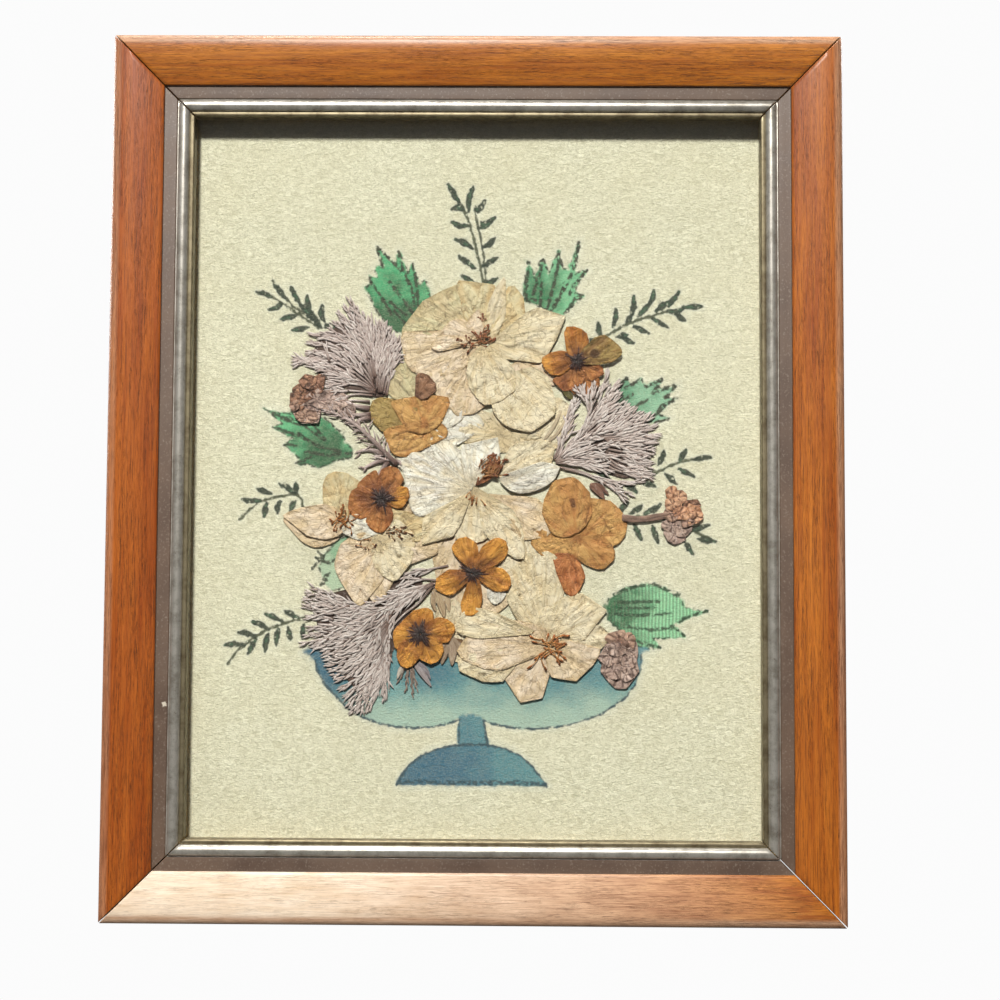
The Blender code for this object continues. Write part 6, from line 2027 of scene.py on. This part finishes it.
def growFrond(fern):
    rng = np.random.default_rng(fern["seed"])
    twigs, widths, tones, ribs, ribWidths, ribTones = [], [], [], [], [], []
    t = np.linspace(0, 1, 7)
    body = 0.62 + 0.45 * np.sin(np.pi * t ** 0.75)
    taper = body * (1 - 0.86 * t ** 3)
    low, high, root = (np.array(fern[key]) for key in ("low", "high", "root"))

    def addTwig(start, heading, bend, long, lift, tone, width):
        turn = heading + bend * t
        flat = start + np.cumsum(np.stack([np.cos(turn), np.sin(turn)], 1) * long / 6, 0) - \
            np.array([math.cos(heading), math.sin(heading)]) * long / 6
        height = lift + 0.16 * np.sin(np.pi * t) - 0.12 * t
        twigs.append(np.stack([flat[:, 0], height, flat[:, 1]], 1))
        widths.append(taper * width * rng.uniform(0.85, 1.15))
        base = low * (1 - tone) + high * tone
        tip = base * rng.uniform(0.72, 1.0)
        tones.append(np.stack([root * (1 - s) * 0.35 + base * (1 - (1 - s) * 0.35) if s > 0 else root
                               for s in t])
                     * (1 - t[:, None] ** 3) + tip * t[:, None] ** 3)
        return flat

    for footLift, tipLift, start, points in fern["ribs"] + between(fern["ribs"][slice(*fern["fan"])]):
        path = curveThrough(points, 0.5)
        run = np.concatenate([[0], np.cumsum(np.hypot(*np.diff(path, axis=0).T))])
        total = run[-1]
        u = np.linspace(0, total, 22)
        line = np.stack([np.interp(u, run, path[:, 0]), np.interp(u, run, path[:, 1])], 1)
        share = u / total
        height = footLift + (tipLift - footLift) * share + 0.1 * np.sin(9 * share + rng.uniform(0, 6))
        ribs.append(np.stack([line[:, 0], height, line[:, 1]], 1))
        ribWidths.append(fern.get("ribWidth", 0.46) * (1 - 0.55 * share) * (1 - 0.8 * share ** 8))
        reach = np.clip(share * 1.6, 0, 1)[:, None]
        tone = rng.uniform(0.45, 0.95)
        ribTones.append(root * (1 - reach) + (low * (1 - tone) + high * tone) * reach)
        s, side = total * start, 1
        while s < total - 0.6:
            here = np.array([np.interp(s, run, path[:, 0]), np.interp(s, run, path[:, 1])])
            ahead = np.array([np.interp(s + 0.8, run, path[:, 0]), np.interp(s + 0.8, run, path[:, 1])])
            heading = math.atan2(*(ahead - here)[::-1])
            lean = side * math.radians(rng.uniform(*fern["spread"]))
            long = rng.uniform(*fern["long"]) * (1.05 - 0.55 * s / total)
            long = min(long, (total - s) * 1.15 + 1.2)
            lift = footLift + (tipLift - footLift) * s / total + rng.uniform(-0.22, 0.22)
            tone = rng.uniform(0.35, 1.0)
            flat = addTwig(here, heading + lean, -lean * rng.uniform(0.3, 1.1), long, lift, tone,
                           fern["width"])
            if long > 3.6 and rng.uniform() < 0.75:
                k = int(rng.integers(2, 4))
                split = heading + lean + rng.choice([-1, 1]) * math.radians(rng.uniform(14, 26))
                addTwig(flat[k], split, rng.uniform(-0.3, 0.3), long * 0.55, lift + 0.05, tone,
                        fern["width"] * 0.85)
            side = -side
            s += fern["every"] * rng.uniform(0.6, 1.3)
    layers = [strands(twigs, widths, tones, flat=0.8, edgeShade=0.35),
              strands(ribs, ribWidths, ribTones, flat=0.8, edgeShade=0.35)]
    # painted shade: a dark sheet under each fan stands for the shade between its strands
    for n, outline in enumerate(fern["shadeSheet"]):
        shadeSheet = dict(edge=outline, tint="shadeSheet", lift=0.2, crumple=0.1, ragged=0.7, step=1.0, curl=0.0)
        layers.append(growPetal(shadeSheet, outline[0], 700 + n + fern["seed"]))
    blades, bladeWidths, bladeTones = [], [], []
    for first, middle, last, half, colour in fern.get("blades", ()):
        path = curveThrough([first, middle, last], 0.5)
        line = path[np.linspace(0, len(path) - 1, 12).astype(int)]
        share = np.linspace(0, 1, 12)
        blades.append(np.stack([line[:, 0], 0.6 + 0.25 * np.sin(np.pi * share), line[:, 1]], 1))
        bladeWidths.append(half * (0.12 + np.sin(np.pi * share ** 0.8) ** 0.9))
        bladeTones.append(np.tile(colour, (12, 1)) * (0.8 + 0.3 * share)[:, None])
    if blades:
        layers.append(strands(blades, bladeWidths, bladeTones, flat=0.16, sides=8, edgeShade=0.6))
    return layers


# the dark colour of the sheet that stands for shade under the fern strands
tints["shadeSheet"] = (srgb(106, 88, 80), srgb(90, 71, 64), srgb(77, 62, 54), srgb(128, 110, 103),
                srgb(57, 45, 39))
for fern in ferns:
    layers = growFrond(fern)
    made = makePressed(fern["name"], layers, dryFern, "fern", fern["node"])
    print(made.name, "ready,", len(made.data.polygons), "faces")


# The crumpled florets, each a heap of small pleated ruffles.

tints["floret"] = (srgb(200, 164, 144), srgb(135, 101, 89), srgb(164, 131, 113), srgb(179, 144, 129),
                   srgb(83, 59, 50))
tints["blush"] = (srgb(231, 185, 153), srgb(185, 131, 103), srgb(176, 121, 84), srgb(213, 162, 131),
                  srgb(100, 66, 50))
tints["bud"] = (srgb(175, 131, 106), srgb(113, 77, 61), srgb(133, 95, 75), srgb(153, 111, 91),
                srgb(68, 44, 35))
tints["mauve"] = (srgb(206, 180, 169), srgb(151, 123, 114), srgb(164, 137, 125), srgb(185, 158, 149),
                  srgb(89, 68, 62))

# Each ruffle: tint, middle, half sizes, how many times it is pleated, and its height.
florets = [
    dict(name="brownBudsLeft", node="brown_buds_left", root=(-54.6, 25), ruffles=[
        ("mauve", (-49, 25.4), (5.0, 3.4), 9, 0.8), ("mauve", (-44.4, 22.6), (3.0, 2.6), 8, 0.9),
        ("mauve", (-56.6, 21.6), (4.4, 3.5), 13, 0.9), ("floret", (-57.6, 19.8), (3.3, 2.1), 11, 1.15),
        ("bud", (-60.6, 24.6), (2.6, 3.6), 7, 1.1), ("floret", (-61.4, 23.6), (1.5, 1.6), 5, 1.4),
        ("bud", (-58.4, 27.4), (3.6, 2.6), 8, 1.2), ("mauve", (-54, 25.6), (3.6, 2.6), 10, 1.25),
        ("bud", (-60, 29.4), (1.8, 1.6), 5, 1.4), ("bud", (-54.2, 30.8), (2.8, 3.0), 6, 1.45),
        ("bud", (-57, 31.2), (2.6, 2.4), 4, 1.6)]),
    dict(name="pinkFloretRight", node="pink_floret_right", root=(67.4, -12.6),
         stem=[(49.4, -14), (53, -14.6), (57, -14.4), (60.6, -13.6), (64.6, -13.2)], ruffles=[
        ("mauve", (67.2, -19.4), (3.2, 2.8), 12, 0.8), ("mauve", (65.8, -16.4), (2.6, 2.4), 10, 1.0),
        ("mauve", (69.4, -17.2), (2.6, 2.6), 9, 0.95), ("blush", (66.2, -5.4), (2.6, 2.5), 5, 0.9),
        ("blush", (68.6, -7.0), (2.3, 2.4), 6, 1.1), ("bud", (73.2, -9.4), (2.6, 1.4), 5, 0.9),
        ("blush", (66.6, -9.4), (2.6, 2.3), 8, 1.3), ("blush", (73.2, -12.8), (2.7, 3.0), 7, 1.2),
        ("blush", (69.2, -12.6), (2.4, 2.2), 7, 1.45), ("floret", (65.6, -12.6), (2.4, 2.2), 8, 1.3),
        ("floret", (71.4, -15.4), (2.2, 1.4), 6, 1.5), ("blush", (73.2, -12.4), (1.3, 1.5), 5, 1.75)]),
    dict(name="mauveFloretLow", node="mauve_floret_low", root=(49, -57), ruffles=[
        ("mauve", (48.4, -63.6), (6.2, 6.4), 26, 0.85), ("mauve", (45.6, -60.2), (3.8, 3.4), 12, 1.05),
        ("mauve", (51.6, -59.6), (3.0, 4.6), 11, 1.1), ("floret", (47.4, -54.8), (3.4, 3.0), 8, 1.2),
        ("floret", (51.2, -55.4), (2.6, 2.6), 7, 1.35), ("mauve", (47.2, -58), (3.4, 1.9), 9, 1.45),
        ("mauve", (46.4, -65.6), (2.6, 2.4), 9, 1.25), ("mauve", (50.6, -66.4), (2.4, 2.0), 9, 1.2)]),
]


def ruffle(tint, middle, size, pleats, lift, seed):
    rng = np.random.default_rng(seed)
    count = 14
    a = 2 * np.pi * np.arange(count) / count + rng.uniform(0, 1)
    reach = 1 + rng.uniform(-0.28, 0.22, count)
    edge = [(middle[0] + size[0] * r * math.cos(b), middle[1] + size[1] * r * math.sin(b)) for r,
            b in zip(reach, a)]
    return dict(tint=tint, lift=lift, edge=edge, crumple=0.16, lump=1.8, curl=0.35, ragged=0.5, step=0.3,
                blotch=0.9, rootReach=0.6, crisp=0.05, fan=0.9, pleats=(pleats, 0.12))


def makeFloret(floret, seed):
    layers = []
    for i, (tint, middle, size, pleats, lift) in enumerate(floret["ruffles"]):
        heart = np.array(floret["root"]) * 0.7 + np.array(middle) * 0.3
        layers.append(growPetal(ruffle(tint, middle, size, pleats, lift, seed + i), heart, seed + 11 * i))
    if "stem" in floret:
        path = curveThrough(floret["stem"], 0.7)
        share = np.linspace(0, 1, len(path))
        wobble = 0.16 * np.sin(7 * share)
        for shift, half in ((0.35, 0.85), (-0.45, 0.7)):
            line = np.stack([path[:, 0], 0.95 + wobble * 0.3, path[:, 1] + shift + wobble], 1)
            tone = np.array(srgb(150, 120, 106)) * (0.85 + 0.2 * np.sin(13 * share + shift * 4))[:, None]
            layers.append(strands([line], [half * (1.0 + 0.12 * np.sin(11 * share + shift))], [tone],
                                  flat=0.8, sides=10, edgeShade=0.45))
    return makePressed(floret["name"], layers, palePetal, "mauve_floret", floret["node"])


for order, floret in enumerate(florets):
    made = makeFloret(floret, 300 + 40 * order)
    print(made.name, "ready,", len(made.data.polygons), "faces")
